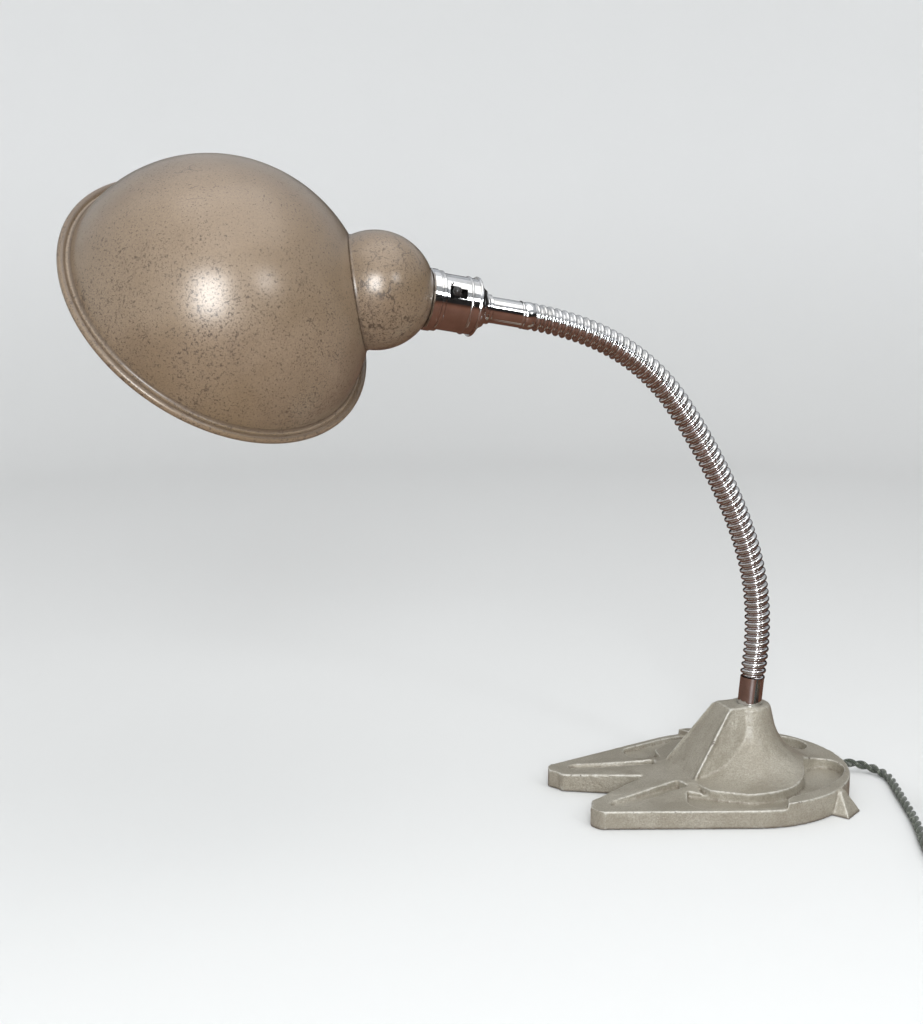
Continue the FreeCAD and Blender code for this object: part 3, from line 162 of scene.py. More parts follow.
class Shader:
    """A material's node tree, wired with short calls."""

    def __init__(self, name, **settings):
        self.material = bpy.data.materials.new(name)
        self.material.use_nodes = True
        self.tree = self.material.node_tree
        self.surface = self.tree.nodes["Principled BSDF"]
        for key, value in settings.items():
            self.surface.inputs[key.replace("_", " ")].default_value = value
        self.coords = self.add("ShaderNodeTexCoord").outputs["Object"]

    def add(self, kind, **settings):
        node = self.tree.nodes.new(kind)
        for key, value in settings.items():
            setattr(node, key, value)
        return node

    def feed(self, socket, value):
        """Links a value from another node, or sets a plain one."""
        if isinstance(value, bpy.types.NodeSocket):
            self.tree.links.new(value, socket)
        else:
            socket.default_value = value

    def noise(self, scale, detail=2.0, roughness=0.5, coords=None):
        node = self.add("ShaderNodeTexNoise")
        self.feed(node.inputs["Vector"], coords or self.coords)
        node.inputs["Scale"].default_value = scale
        node.inputs["Detail"].default_value = detail
        node.inputs["Roughness"].default_value = roughness
        return node.outputs["Fac"]

    def cell_edges(self, scale, coords):
        """How far a point is from the nearest edge between random cells."""
        node = self.add("ShaderNodeTexVoronoi", feature="DISTANCE_TO_EDGE")
        self.feed(node.inputs["Vector"], coords)
        node.inputs["Scale"].default_value = scale
        return node.outputs["Distance"]

    def stretched(self, scale, turn=(0, 0, 0)):
        """The coordinates, turned and scaled by different amounts along X, Y and Z."""
        node = self.add("ShaderNodeMapping")
        self.feed(node.inputs["Vector"], self.coords)
        node.inputs["Scale"].default_value = scale
        node.inputs["Rotation"].default_value = turn
        return node.outputs["Vector"]

    def wobbled(self, scale, amount, stretch=(1.0, 1.0, 1.0)):
        """The coordinates, stretched and moved about by a noise, so that lines aren't straight."""
        node = self.add("ShaderNodeTexNoise")
        self.feed(node.inputs["Vector"], self.coords)
        node.inputs["Scale"].default_value = scale
        away = self.add("ShaderNodeVectorMath", operation="SUBTRACT")
        self.feed(away.inputs[0], node.outputs["Color"])
        away.inputs[1].default_value = (0.5, 0.5, 0.5)
        far = self.add("ShaderNodeVectorMath", operation="SCALE")
        self.feed(far.inputs[0], away.outputs[0])
        far.inputs["Scale"].default_value = amount
        total = self.add("ShaderNodeVectorMath", operation="ADD")
        self.feed(total.inputs[0], self.stretched(stretch))
        self.feed(total.inputs[1], far.outputs[0])
        return total.outputs[0]

    def math(self, operation, first, second=0.0):
        node = self.add("ShaderNodeMath", operation=operation)
        self.feed(node.inputs[0], first)
        self.feed(node.inputs[1], second)
        return node.outputs[0]

    def span(self, value, low, high, to_low=0.0, to_high=1.0):
        """The value's stretch from low to high, mapped smoothly to to_low and to_high."""
        node = self.add("ShaderNodeMapRange", interpolation_type="SMOOTHSTEP")
        self.feed(node.inputs["Value"], value)
        node.inputs["From Min"].default_value = low
        node.inputs["From Max"].default_value = high
        node.inputs["To Min"].default_value = to_low
        node.inputs["To Max"].default_value = to_high
        return node.outputs["Result"]

    def blend(self, share, first, second):
        """Two colours mixed by share."""
        node = self.add("ShaderNodeMix", data_type="RGBA", clamp_factor=True)
        self.feed(node.inputs["Factor"], share)
        for socket, colour in ((node.inputs[6], first), (node.inputs[7], second)):
            self.feed(socket, colour if isinstance(colour, bpy.types.NodeSocket) else (*colour, 1.0))
        return node.outputs[2]

    def along(self, direction):
        """How far a point lies along a direction, in metres."""
        node = self.add("ShaderNodeVectorMath", operation="DOT_PRODUCT")
        self.feed(node.inputs[0], self.coords)
        node.inputs[1].default_value = direction
        return node.outputs["Value"]

    def away(self, place):
        """How far a point is from a place, in metres."""
        node = self.add("ShaderNodeVectorMath", operation="DISTANCE")
        self.feed(node.inputs[0], self.coords)
        node.inputs[1].default_value = place
        return node.outputs["Value"]

    def near(self, value, middle, width):
        """One where the value is middle, falling to nothing within width."""
        off = self.math("ABSOLUTE", self.math("SUBTRACT", value, middle))
        return self.span(off, width * 0.35, width, 1.0, 0.0)

    def colour(self, value):
        self.feed(self.surface.inputs["Base Color"], value)

    def roughness(self, value):
        self.feed(self.surface.inputs["Roughness"], value)

    def bump(self, height, strength, distance):
        """Adds a layer of bump, in metres, over those already there."""
        node = self.add("ShaderNodeBump")
        node.inputs["Strength"].default_value = strength
        node.inputs["Distance"].default_value = distance
        self.feed(node.inputs["Height"], height)
        below = self.surface.inputs["Normal"].links
        if below:
            self.feed(node.inputs["Normal"], below[0].from_socket)
        self.feed(self.surface.inputs["Normal"], node.outputs["Normal"])


# ---- materials ------------------------------------------------------------------------------

def shade_paint():
    """Satin brown enamel: cloudy tone, dark flecks in drifts, fine cracks, dirt and painted shade along the seams.
    """
    m = Shader("shade_paint", Metallic=0.20, Coat_Weight=1.0, Coat_Roughness=0.28)
    bowl = bowl_place()
    from_bowl = m.away(bowl.translation)
    from_dome = m.away(dome_middle())
    on_dome = m.near(from_dome, DOME_RADIUS * MM, 0.0022)
    tone, cloud = enamel_tone(m)
    flecks = enamel_flecks(m, on_dome)
    tone = m.blend(m.math("MULTIPLY", flecks, 0.85), tone, (0.062, 0.036, 0.020))
    crack = enamel_cracks(m, on_dome)
    tone = m.blend(m.math("MULTIPLY", crack, 0.80), tone, (0.060, 0.038, 0.024))
    # Dirt and painted shade: a dark brown line in the crease where the bowl meets the dome, and in the crease just
    # above the rolled rim.
    off_bowl = m.math("ABSOLUTE", m.math("SUBTRACT", from_bowl, SHADE_RADIUS * MM))
    off_dome = m.math("ABSOLUTE", m.math("SUBTRACT", from_dome, DOME_RADIUS * MM))
    seam = m.span(m.math("MAXIMUM", off_bowl, off_dome), 0.0002, 0.0024, 1.0, 0.0)
    seam = m.math("MULTIPLY", seam, m.span(m.noise(260, 3), 0.30, 0.62, 0.35, 1.0))
    axis = bowl.to_3x3() @ Vector((0, 0, 1))
    high = m.math("SUBTRACT", m.along(axis), axis.dot(bowl.translation))
    rim = m.near(high, (SHADE_RADIUS - SHADE_DEPTH + 3.1) * MM, 1.3 * MM)
    seam_shade_and_dirt = m.math("MAXIMUM", seam, m.math("MULTIPLY", rim, 0.8))
    tone = m.blend(m.math("MULTIPLY", seam_shade_and_dirt, 0.75), tone, (0.085, 0.055, 0.034))
    m.colour(tone)
    dull = m.math("MULTIPLY", m.math("MAXIMUM", flecks, seam_shade_and_dirt), 0.25)
    m.roughness(m.math("ADD", m.math("ADD", 0.37, m.math("MULTIPLY", cloud, 0.06)), dull))
    m.bump(m.noise(420, 3, 0.55), 0.16, 0.00025)
    m.bump(m.math("SUBTRACT", 1.0, m.math("MAXIMUM", flecks, crack)), 0.30, 0.0002)
    return m.material


def enamel_tone(m):
    """The shade's colour before its marks, and the cloud it varies by."""
    cloud = m.span(m.noise(15, 3), 0.35, 0.65)
    tone = m.blend(cloud, (0.216, 0.150, 0.090), (0.275, 0.200, 0.132))
    warm = m.span(m.noise(9, 2), 0.52, 0.70)
    tone = m.blend(m.math("MULTIPLY", warm, 0.55), tone, (0.215, 0.143, 0.070))
    grain = m.span(m.noise(900, 4, 0.75), 0.38, 0.64)
    return m.blend(m.math("MULTIPLY", grain, 0.42), tone, (0.150, 0.102, 0.068)), cloud


def enamel_flecks(m, on_dome):
    """Ragged dark flecks nearly everywhere, in drifts, thicker and larger towards the shade's foot."""
    drift = m.span(m.noise(22, 4, 0.6), 0.36, 0.62)
    low = m.span(m.along((-0.45, 0.0, -0.9)), -0.27, -0.09)
    density = m.math("ADD", m.math("MULTIPLY", drift, 0.45), m.math("MULTIPLY", low, 0.65))
    density = m.math("ADD", density, m.math("MULTIPLY", on_dome, 0.25))
    small = m.math("ADD", m.noise(760, 3, 0.72), m.math("MULTIPLY", density, 0.080))
    large = m.math("ADD", m.noise(330, 4, 0.75), m.math("MULTIPLY", density, 0.105))
    speck = m.math("ADD", m.noise(1500, 2, 0.6), m.math("MULTIPLY", density, 0.055))
    both = m.math("MAXIMUM", m.span(small, 0.625, 0.695), m.span(large, 0.690, 0.745))
    return m.math("MAXIMUM", both, m.math("MULTIPLY", m.span(speck, 0.66, 0.72), 0.7))


def enamel_cracks(m, on_dome):
    """Short broken cracks here and there on the bowl, and longer upright ones on the small dome."""
    line = m.cell_edges(58, m.wobbled(170, 0.010))
    patch = m.span(m.noise(34, 2), 0.61, 0.68)
    short = m.math("MULTIPLY", m.span(line, 0.005, 0.028, 1.0, 0.0), patch)
    tall = m.cell_edges(66, m.wobbled(210, 0.007, (1.0, 1.0, 0.30)))
    broken = m.span(m.noise(110, 3, 0.6), 0.42, 0.52)
    upright = m.math("MULTIPLY", m.span(tall, 0.004, 0.032, 1.0, 0.0), broken)
    return m.math("MAXIMUM", short, m.math("MULTIPLY", upright, on_dome))


def shade_inside():
    """The bowl's inside: white enamel gone cream."""
    m = Shader("shade_inside", Roughness=0.42)
    cloud = m.span(m.noise(30, 4), 0.35, 0.7)
    m.colour(m.blend(cloud, (0.74, 0.70, 0.61), (0.62, 0.56, 0.46)))
    m.bump(m.noise(500, 2), 0.15, 0.0002)
    return m.material


def base_paint():
    """Grey-beige enamel over a rough casting: pale worn edges with a painted highlight, dirt and painted shade in
    the hollows, a painted shadow along the foot, chips.
    """
    m = Shader("base_paint", Metallic=0.25, Coat_Weight=0.45, Coat_Roughness=0.28)
    cloud = m.span(m.noise(38, 4, 0.6), 0.34, 0.68)
    tone = m.blend(cloud, (0.330, 0.296, 0.232), (0.440, 0.405, 0.333))
    grain = m.span(m.noise(1000, 4, 0.7), 0.34, 0.68)
    tone = m.blend(m.math("MULTIPLY", grain, 0.55), tone, (0.200, 0.172, 0.132))
    geometry = m.add("ShaderNodeNewGeometry")
    ragged = m.math("MULTIPLY", m.math("SUBTRACT", m.noise(260, 4), 0.5), 0.07)
    edge = m.math("ADD", geometry.outputs["Pointiness"], ragged)
    # Pale sharp edges: paint worn thin there, made paler still as a painted highlight.
    worn_and_highlit_edge = m.span(edge, 0.510, 0.550)
    tone = m.blend(m.math("MULTIPLY", worn_and_highlit_edge, 0.75), tone, (0.62, 0.60, 0.54))
    # Dark brown in the hollows: dirt and painted shade.
    hollow_shade_and_dirt = m.span(edge, 0.490, 0.450)
    tone = m.blend(m.math("MULTIPLY", hollow_shade_and_dirt, 0.65), tone, (0.120, 0.090, 0.058))
    chip = m.math("MULTIPLY", m.span(m.noise(300, 4, 0.7), 0.62, 0.66), m.span(edge, 0.500, 0.530))
    tone = m.blend(m.math("MULTIPLY", chip, 0.85), tone, (0.085, 0.055, 0.035))
    # A painted contact shadow: dark brown along the lowest 2 mm, where the casting meets the floor.
    foot_shadow = m.span(m.along((0, 0, 1)), 0.0, 0.0022, 1.0, 0.0)
    tone = m.blend(m.math("MULTIPLY", foot_shadow, 0.75), tone, (0.085, 0.060, 0.040))
    m.colour(tone)
    m.roughness(m.math("ADD", 0.34, m.math("MULTIPLY", grain, 0.16)))
    m.bump(m.noise(280, 5, 0.7), 1.0, 0.0009)
    m.bump(m.math("SUBTRACT", 1.0, chip), 0.5, 0.0003)
    return m.material


def chrome(name, tint=0.80, rough=0.07):
    """Bright plate with faint clouding, dulled patches and hairline scratches."""
    m = Shader(name, Metallic=1.0)
    cloud = m.span(m.noise(120, 3), 0.35, 0.7)
    tone = m.blend(cloud, (tint, tint, tint * 1.005), (tint * 0.86, tint * 0.85, tint * 0.83))
    pit = m.span(m.noise(900, 3, 0.7), 0.66, 0.70)
    m.colour(m.blend(m.math("MULTIPLY", pit, 0.6), tone, (0.16, 0.13, 0.11)))
    scratch = m.span(m.noise(260, 3, coords=m.stretched((1, 9, 1), (0.3, 0.2, 0.5))), 0.60, 0.72)
    m.roughness(m.math("ADD", rough, m.math("MULTIPLY", scratch, 0.10)))
    m.bump(m.noise(700, 2), 0.04, 0.0001)
    return m.material


def metal(name, colour, rough):
    """Plain turned or pressed metal."""
    m = Shader(name, Metallic=1.0)
    cloud = m.span(m.noise(300, 3), 0.3, 0.7)
    m.colour(m.blend(cloud, colour, tuple(c * 0.72 for c in colour)))
    m.roughness(m.math("ADD", rough, m.math("MULTIPLY", cloud, 0.1)))
    m.bump(m.noise(1500, 2), 0.15, 0.0001)
    return m.material


def moulded(name, colour, rough):
    """Moulded plastic, ceramic or rubber, faintly uneven."""
    m = Shader(name)
    cloud = m.span(m.noise(90, 4), 0.3, 0.75)
    m.colour(m.blend(cloud, colour, tuple(min(1.0, c * 1.35 + 0.004) for c in colour)))
    m.roughness(m.math("ADD", rough, m.math("MULTIPLY", cloud, 0.12)))
    m.bump(m.noise(900, 3), 0.12, 0.0002)
    return m.material


def thin_glass():
    """The bulb's clear glass."""
    m = Shader("bulb_glass", Roughness=0.02, Transmission_Weight=1.0, IOR=1.46)
    m.colour(m.blend(m.span(m.noise(60, 2), 0.3, 0.7), (0.97, 0.97, 0.96), (0.93, 0.94, 0.93)))
    m.bump(m.noise(90, 1), 0.02, 0.0002)
    return m.material


def flex_fabric():
    """Braided cotton over each core: dark green threads, black between, with pale flecks."""
    m = Shader("flex_fabric", Roughness=0.85, Sheen_Weight=0.35, Sheen_Roughness=0.5)
    uv = m.add("ShaderNodeUVMap").outputs["UV"]
    split = m.add("ShaderNodeSeparateXYZ")
    m.feed(split.inputs[0], uv)
    around = split.outputs[0]
    along = split.outputs[1]
    strands = m.math("MULTIPLY", around, 8.0)
    one = m.math("SINE", m.math("MULTIPLY", m.math("ADD", strands, along), 2 * pi))
    two = m.math("SINE", m.math("MULTIPLY", m.math("SUBTRACT", strands, along), 2 * pi))
    thread = m.span(m.math("MULTIPLY", one, two), -0.6, 0.7)
    tone = m.blend(thread, (0.018, 0.020, 0.014), (0.085, 0.100, 0.070))
    patch = m.span(m.noise(420, 2), 0.55, 0.64)
    tone = m.blend(m.math("MULTIPLY", m.math("MULTIPLY", patch, thread), 0.8), tone, (0.36, 0.37, 0.31))
    m.colour(tone)
    m.bump(thread, 0.6, 0.0003)
    return m.material


def floor_paint():
    """A plain pale floor. Mirrors see a painted reflection instead: a table top in a darker room with one light
    side.
    """
    m = Shader("floor_paint", Roughness=0.6, Specular_IOR_Level=0.1)
    high = m.along((0, 0, 1))
    pale = m.blend(m.span(high, 0.0, 0.6), (0.745, 0.745, 0.735), (0.860, 0.860, 0.855))
    pale = m.blend(m.math("MULTIPLY", m.noise(3, 2), 0.1), pale, (0.70, 0.70, 0.69))
    # Painted reflection for mirror rays only: a dark room with one lit side and a brown table top, in place of the
    # pale floor.
    side = m.blend(m.span(m.along((1, 0, 0)), -1.4, -0.2), (0.62, 0.61, 0.59), (0.022, 0.019, 0.018))
    wall = m.blend(m.span(high, 0.9, 1.7), side, (0.60, 0.61, 0.63))
    painted_reflection = m.blend(m.span(high, 0.02, 0.30), (0.120, 0.052, 0.032), wall)
    mirrored = m.add("ShaderNodeLightPath").outputs["Is Glossy Ray"]
    m.colour(m.blend(mirrored, pale, painted_reflection))
    return m.material


PAINT = {
    "base_paint": base_paint(),
    "shade_paint": shade_paint(),
    "shade_inside": shade_inside(),
    "chrome": chrome("chrome"),
    "hose_chrome": chrome("hose_chrome", 0.76, 0.14),
    "brass": metal("brass", (0.78, 0.56, 0.25), 0.25),
    "steel": metal("steel", (0.62, 0.61, 0.59), 0.3),
    "bakelite": moulded("bakelite", (0.018, 0.016, 0.015), 0.28),
    "bulb_glass": thin_glass(),
    "bulb_cap_metal": metal("bulb_cap_metal", (0.75, 0.73, 0.68), 0.35),
    "flex_fabric": flex_fabric(),
    "rubber": moulded("rubber", (0.02, 0.02, 0.02), 0.6),
    "plug_plastic": moulded("plug_plastic", (0.022, 0.020, 0.019), 0.3),
}


# ---- meshes ---------------------------------------------------------------------------------

def mesh_object(name, points, faces, material):
    """A smooth-shaded mesh of one material, in the scene."""
    mesh = bpy.data.meshes.new(name)
    mesh.from_pydata([tuple(p) for p in points], [], [tuple(f) for f in faces])
    mesh.update()
    mesh.materials.append(material)
    mesh.shade_smooth()
    piece = bpy.data.objects.new(name, mesh)
    bpy.context.scene.collection.objects.link(piece)
    return piece


def grid_faces(rows, columns):
    """Quads over a grid of points, row after row, closed round each row."""
    faces = []
    for row in range(rows - 1):
        for column in range(columns):
            after = (column + 1) % columns
            here = row * columns
            there = here + columns
            faces.append((here + column, here + after, there + after, there + column))
    return faces


def tube(line, radius, sides):
    """Points and faces of a closed round tube along a line of points."""
    line = np.asarray(line, float)
    ahead = np.gradient(line, axis=0)
    ahead /= np.linalg.norm(ahead, axis=1)[:, None]
    side = carried(ahead)
    other = np.cross(ahead, side)
    angle = np.arange(sides) / sides * 2 * pi
    out = np.cos(angle)[None, :, None] * side[:, None] + np.sin(angle)[None, :, None] * other[:, None]
    points = (line[:, None] + out * radius).reshape(-1, 3)
    faces = grid_faces(len(line), sides)
    faces.append(tuple(reversed(range(sides))))
    faces.append(tuple(range((len(line) - 1) * sides, len(line) * sides)))
    return points, faces


def carried(ahead):
    """A sideways direction at each point of a line, carried along it with no twist."""
    start = np.cross(ahead[0], (0.0, 0.0, 1.0))
    if np.linalg.norm(start) < 0.1:
        start = np.cross(ahead[0], (0.0, 1.0, 0.0))
    sides = [start / np.linalg.norm(start)]
    for direction in ahead[1:]:
        side = sides[-1] - direction * (sides[-1] @ direction)
        sides.append(side / np.linalg.norm(side))
    return np.array(sides)


def spaced(line, step):
    """The same line with points evenly step apart."""
    line = np.asarray(line, float)
    far = np.concatenate([[0], np.cumsum(np.linalg.norm(np.diff(line, axis=0), axis=1))])
    at = np.linspace(0, far[-1], max(2, int(far[-1] / step) + 1))
    return np.stack([np.interp(at, far, line[:, k]) for k in range(3)], axis=1)


# ---- base -----------------------------------------------------------------------------------

def base():
    """The casting with soft foundry edges and a rough skin, from the frame's own shape."""
    mesh = frame["nodes"]["base_casting"].data.copy()
    mesh.materials.clear()
    mesh.materials.append(PAINT["base_paint"])
    piece = bpy.data.objects.new("base_casting_cast", mesh)
    bpy.context.scene.collection.objects.link(piece)
    add_ridges(mesh)
    remesh = piece.modifiers.new("remesh", "REMESH")
    remesh.mode = "VOXEL"
    remesh.voxel_size = VOXEL * MM
    soften = piece.modifiers.new("soften", "SMOOTH")
    soften.factor = 0.5
    soften.iterations = 6
    apply_modifiers(piece)
    rough_skin(piece.data)
    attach(piece, "base")
    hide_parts("base_casting")
    return piece


def add_ridges(mesh):
    """A thin raised ridge down each edge of the hub's sloping face."""
    build = bmesh.new()
    build.from_mesh(mesh)
    for side in (-1, 1):
        line = [RIDGE_TOP, RIDGE_MIDDLE, RIDGE_FOOT]
        line = spaced([(x * MM, side * y * MM, z * MM) for x, y, z in line], 1.5 * MM)
        points, faces = tube(line, RIDGE_RADIUS * MM, 10)
        corners = [build.verts.new(point) for point in points]
        for face in faces:
            build.faces.new([corners[index] for index in face])
    build.to_mesh(mesh)
    build.free()


def apply_modifiers(piece):
    """Puts the modifiers' result in the piece's own mesh."""
    graph = bpy.context.evaluated_depsgraph_get()
    mesh = bpy.data.meshes.new_from_object(piece.evaluated_get(graph))
    piece.modifiers.clear()
    piece.data = mesh
    mesh.shade_smooth()


def round_tips(places):
    """Rounds the two legs' tips, in plan, about a point near each tip's middle."""
    for side in (-1, 1):
        middle = np.array((TIP_MIDDLE[0], side * TIP_MIDDLE[1])) * MM
        away = places[:, :2] - middle
        far = np.maximum(np.linalg.norm(away, axis=1), 1e-6)
        reach = (TIP_RADIUS + 1.4 * (away[:, 1] / far) ** 2) * MM
        outside = (away[:, 0] < 0) & (far > reach) & (side * places[:, 1] > 0)
        places[outside, :2] = middle + away[outside] * (reach / far)[outside, None]


def rough_skin(mesh):
    """Small hollows of a sand casting, pushed inwards along the normals."""
    places = np.empty(len(mesh.vertices) * 3)
    normals = np.empty(len(mesh.vertices) * 3)
    mesh.vertices.foreach_get("co", places)
    mesh.vertex_normals.foreach_get("vector", normals)
    places = places.reshape(-1, 3)
    round_tips(places)
    inward = []
    for place in places:
        spot = Vector(place)
        inward.append(0.5 + 0.35 * noise.noise(spot * 120.0) + 0.35 * noise.noise(spot * 420.0))
    places -= normals.reshape(-1, 3) * np.array(inward)[:, None] * SKIN_DEPTH * MM
    places[:, 2] = np.maximum(places[:, 2], 0.0)
    mesh.vertices.foreach_set("co", places.ravel())
    mesh.update()


# ---- gooseneck ------------------------------------------------------------------------------

def hose_line():
    """The hose's centreline in the XZ plane: an arc from each joint to the next.

    It gives the lengths along it, a row of X, heading and Z at each of them, and its whole length.
    """
    hinges = [j for j in frame["joints"] if j["name"].startswith("neck_")]
    places = [Vector(j["pos_m"]) for j in hinges]
    # The second joint's axis is square to the hose there, and in its plane.
    second = hinges[1]["axis"]
    heading = atan2(second[0], -second[2])
    chords = [atan2(b.z - a.z, b.x - a.x) for a, b in zip(places, places[1:])]
    heading = 2 * chords[0] - heading
    points = []
    lengths = []
    far = 0.0
    for start, end, chord in zip(places, places[1:], chords):
        half = chord - heading
        span = (end - start).length
        long = span * half / sin(half)
        steps = 80
        for step in range(steps):
            share = step / steps
            reach = span * sin(half * share) / sin(half)
            towards = heading + half * share
            x = start.x + reach * cos(towards)
            z = start.z + reach * sin(towards)
            points.append((x, heading + 2 * half * share, z))
            lengths.append(far + long * share)
        heading = 2 * chord - heading
        far += long
    points.append((places[-1].x, heading, places[-1].z))
    lengths.append(far)
    return np.array(lengths), np.array(points), far


def hose():
    """The wound hose, in one piece for each joint, cut halfway between the joints."""
    lengths, points, far = hose_line()
    link = far / HOSE_LINKS
    for number in range(1, HOSE_LINKS + 2):
        middle = (number - 1) * link
        start = max(middle - link / 2, -HOSE_SUNK * MM)
        end = min(middle + link / 2, far + HOSE_LAP * MM)
        piece = hose_piece(f"hose_{number}", lengths, points, start, end)
        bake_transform(piece)
        if number <= HOSE_LINKS:
            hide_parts(f"neck_link_{number}")


def centre_at(lengths, points, far):
    """The centreline's point and heading at a length along it, straight on past its ends."""
    inside = min(max(far, lengths[0]), lengths[-1])
    x, heading, z = (float(np.interp(inside, lengths, points[:, k])) for k in range(3))
    past = far - inside
    return Vector((x + past * cos(heading), 0.0, z + past * sin(heading))), heading


def hose_piece(name, lengths, points, start, end):
    """One stretch of the hose's wound ridges."""
    pitch = HOSE_PITCH * MM
    rows = max(2, round((end - start) / pitch * 14))
    sides = 56
    share = np.arange(sides) / sides
    angle = share * 2 * pi
    places = []
    for row in range(rows + 1):
        far = start + (end - start) * row / rows
        centre, heading = centre_at(lengths, points, far)
        up = np.array((sin(heading), 0, -cos(heading)))
        radius = hose_radius((far / pitch - share) % 1.0)
        out = np.cos(angle)[:, None] * up + np.sin(angle)[:, None] * np.array((0, 1, 0))
        places.extend(np.array(centre) + out * radius[:, None])
    return mesh_object(name, places, grid_faces(rows + 1, sides), PAINT["hose_chrome"])


def hose_radius(phase):
    """The ridge's height across one turn: a round crown between flat-bottomed grooves."""
    across = np.abs(phase - 0.5) * 2
    crown = np.sqrt(np.clip(1 - (across / HOSE_CROWN) ** 2, 0.0, 1.0))
    return (HOSE_RADIUS - HOSE_GROOVE * (1 - crown)) * MM


# ---- flex -----------------------------------------------------------------------------------

def coil_points():
    """The coil's turns: in along the floor, up at the middle, and out again on top."""
    steps = 16
    across = (COIL_OUTER - COIL_INNER) / (2 * FLEX_RADIUS)
    climb = 0.25
    total = 2 * across + 2 * climb
    points = []
    for step in range(1, round(total * steps)):
        turn = step / steps
        if turn < across:
            radius = COIL_OUTER - 2 * FLEX_RADIUS * turn
            height = 0.0
        elif turn < across + climb:
            radius = COIL_INNER
            height = (turn - across) / climb
        else:
            radius = min(COIL_OUTER, COIL_INNER + 2 * FLEX_RADIUS * (turn - across - climb))
            height = 1.0
        angle = pi + turn * 2 * pi
        radius = radius / cos(pi / steps)
        z = FLEX_RADIUS + 0.1 + height * (2 * FLEX_RADIUS - 0.15)
        points.append((COIL_CENTRE[0] + radius * cos(angle), COIL_CENTRE[1] + radius * sin(angle), z))
    return points


def route_line():
    """The flex's centreline, as the NURBS through its control points gives it."""
    places = ROUTE_TO_COIL + coil_points() + ROUTE_TO_PLUG
    curve = bpy.data.curves.new("flex_route", "CURVE")
    curve.dimensions = "3D"
    curve.resolution_u = 8
    spline = curve.splines.new("NURBS")
    spline.points.add(len(places) - 1)
    for point, place in zip(spline.points, places):
        point.co = (*(c * MM for c in place), 1.0)
    spline.order_u = 3
    spline.use_endpoint_u = True
    holder = bpy.data.objects.new("flex_route", curve)
    mesh = bpy.data.meshes.new_from_object(holder)
    line = [tuple(v.co) for v in mesh.vertices]
    bpy.data.meshes.remove(mesh)
    bpy.data.objects.remove(holder)
    return line


def twisted(name, line, radius, twist, material):
    """Two round cores wound round a line, as one mesh with UVs in turns and thread lengths."""
    line = spaced(line, 0.9 * MM)
    far = np.concatenate([[0], np.cumsum(np.linalg.norm(np.diff(line, axis=0), axis=1))])
    ahead = np.gradient(line, axis=0)
    ahead /= np.linalg.norm(ahead, axis=1)[:, None]
    side = carried(ahead)
    other = np.cross(ahead, side)
    sides = 12
    points = []
    faces = []
    for strand in range(2):
        angle = far / (twist * MM) * 2 * pi + strand * pi
        away = np.cos(angle)[:, None] * side + np.sin(angle)[:, None] * other
        more, quads = tube(line + away * radius / 2 * MM, radius / 2 * 1.02 * MM, sides)
        base_index = len(points)
        points += [tuple(p) for p in more]
        faces += [tuple(base_index + i for i in quad) for quad in quads]
    piece = mesh_object(name, points, faces, material)
    braid_uv(piece, len(line), sides, far)
    return piece, line


def braid_uv(piece, rings, sides, far):
    """UVs on two tubes made by twisted(): one unit round each tube, and one for each braid repeat."""
    layer = piece.data.uv_layers.new(name="braid")
    repeat = BRAID_REPEAT * MM
    for polygon in piece.data.polygons:
        indices = [v % (rings * sides) for v in polygon.vertices]
        columns = [i % sides for i in indices]
        wraps = max(columns) == sides - 1 and min(columns) == 0
        for loop, index, column in zip(polygon.loop_indices, indices, columns):
            turn = 1.0 if wraps and column == 0 else column / sides
            layer.data[loop].uv = (turn, far[index // sides] / repeat)


def coil_tie():
    """A thin rubber band round the coil's turns, squared off to fit them."""
    inner = COIL_INNER - FLEX_RADIUS - 0.3
    outer = COIL_OUTER + FLEX_RADIUS + 0.4
    top = 4 * FLEX_RADIUS + 0.5
    angle = radians(-60)
    across = Vector((cos(angle), sin(angle), 0))
    along = Vector((-sin(angle), cos(angle), 0))
    middle = Vector((*COIL_CENTRE, 0))
    corners = []
    for step in range(48):
        turn = step / 48 * 2 * pi
        out = (inner + outer) / 2 + (outer - inner) / 2 * copysign(abs(cos(turn)) ** 0.45, cos(turn))
        high = top / 2 + 0.25 + top / 2 * copysign(abs(sin(turn)) ** 0.45, sin(turn))
        corners.append((out, high))
    points = []
    for shift in (-TIE_HALF, 0.4 - TIE_HALF, TIE_HALF - 0.4, TIE_HALF):
        thick = 0.2 if abs(shift) == TIE_HALF else 0.5
        for out, high in corners:
            away = Vector((out - (inner + outer) / 2, high - top / 2)).normalized() * thick
            spot = middle + across * (out + away.x) + along * shift
            points.append((spot.x * MM, spot.y * MM, max(0.1, high + away.y) * MM))
    piece = mesh_object("coil_tie", points, grid_faces(4, 48), PAINT["rubber"])
    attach(piece, "base")
    return piece


def flex():
    """The loose flex from the base's bush, through its coil, to the plug."""
    line = route_line()
    piece, path = twisted("flex", line, FLEX_RADIUS, FLEX_TWIST, PAINT["flex_fabric"])
    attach(piece, "base")
    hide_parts("flex_cord", "flex_coil", "flex_tail")
    along = [frame["nodes"][n] for n in ("plug_cover", "plug_base", "plug_pins", "plug_screw")]
    along.append(coil_tie())


# ---- shade ----------------------------------------------------------------------------------

def ring(radius, turn, direction, sideways, sides):
    """A ring on a sphere about the origin: all the points at an angle from a direction."""
    place = axes_at((0, 0, 0), direction, sideways)
    points = []
    for side in range(sides):
        angle = side / sides * 2 * pi
        flat = Vector((sin(turn) * cos(angle), sin(turn) * sin(angle), cos(turn)))
        points.append(place @ (flat * radius * MM))
    return points


def rings_between(radius, first, last, sideways, rows, sides):
    """Rings on a sphere, opening from one (direction, angle) to another that goes round it."""
    found = []
    for row in range(rows + 1):
        share = row / rows
        direction = first[0].slerp(last[0], share)
        found.append(ring(radius, first[1] + (last[1] - first[1]) * share, direction, sideways, sides))
    return found


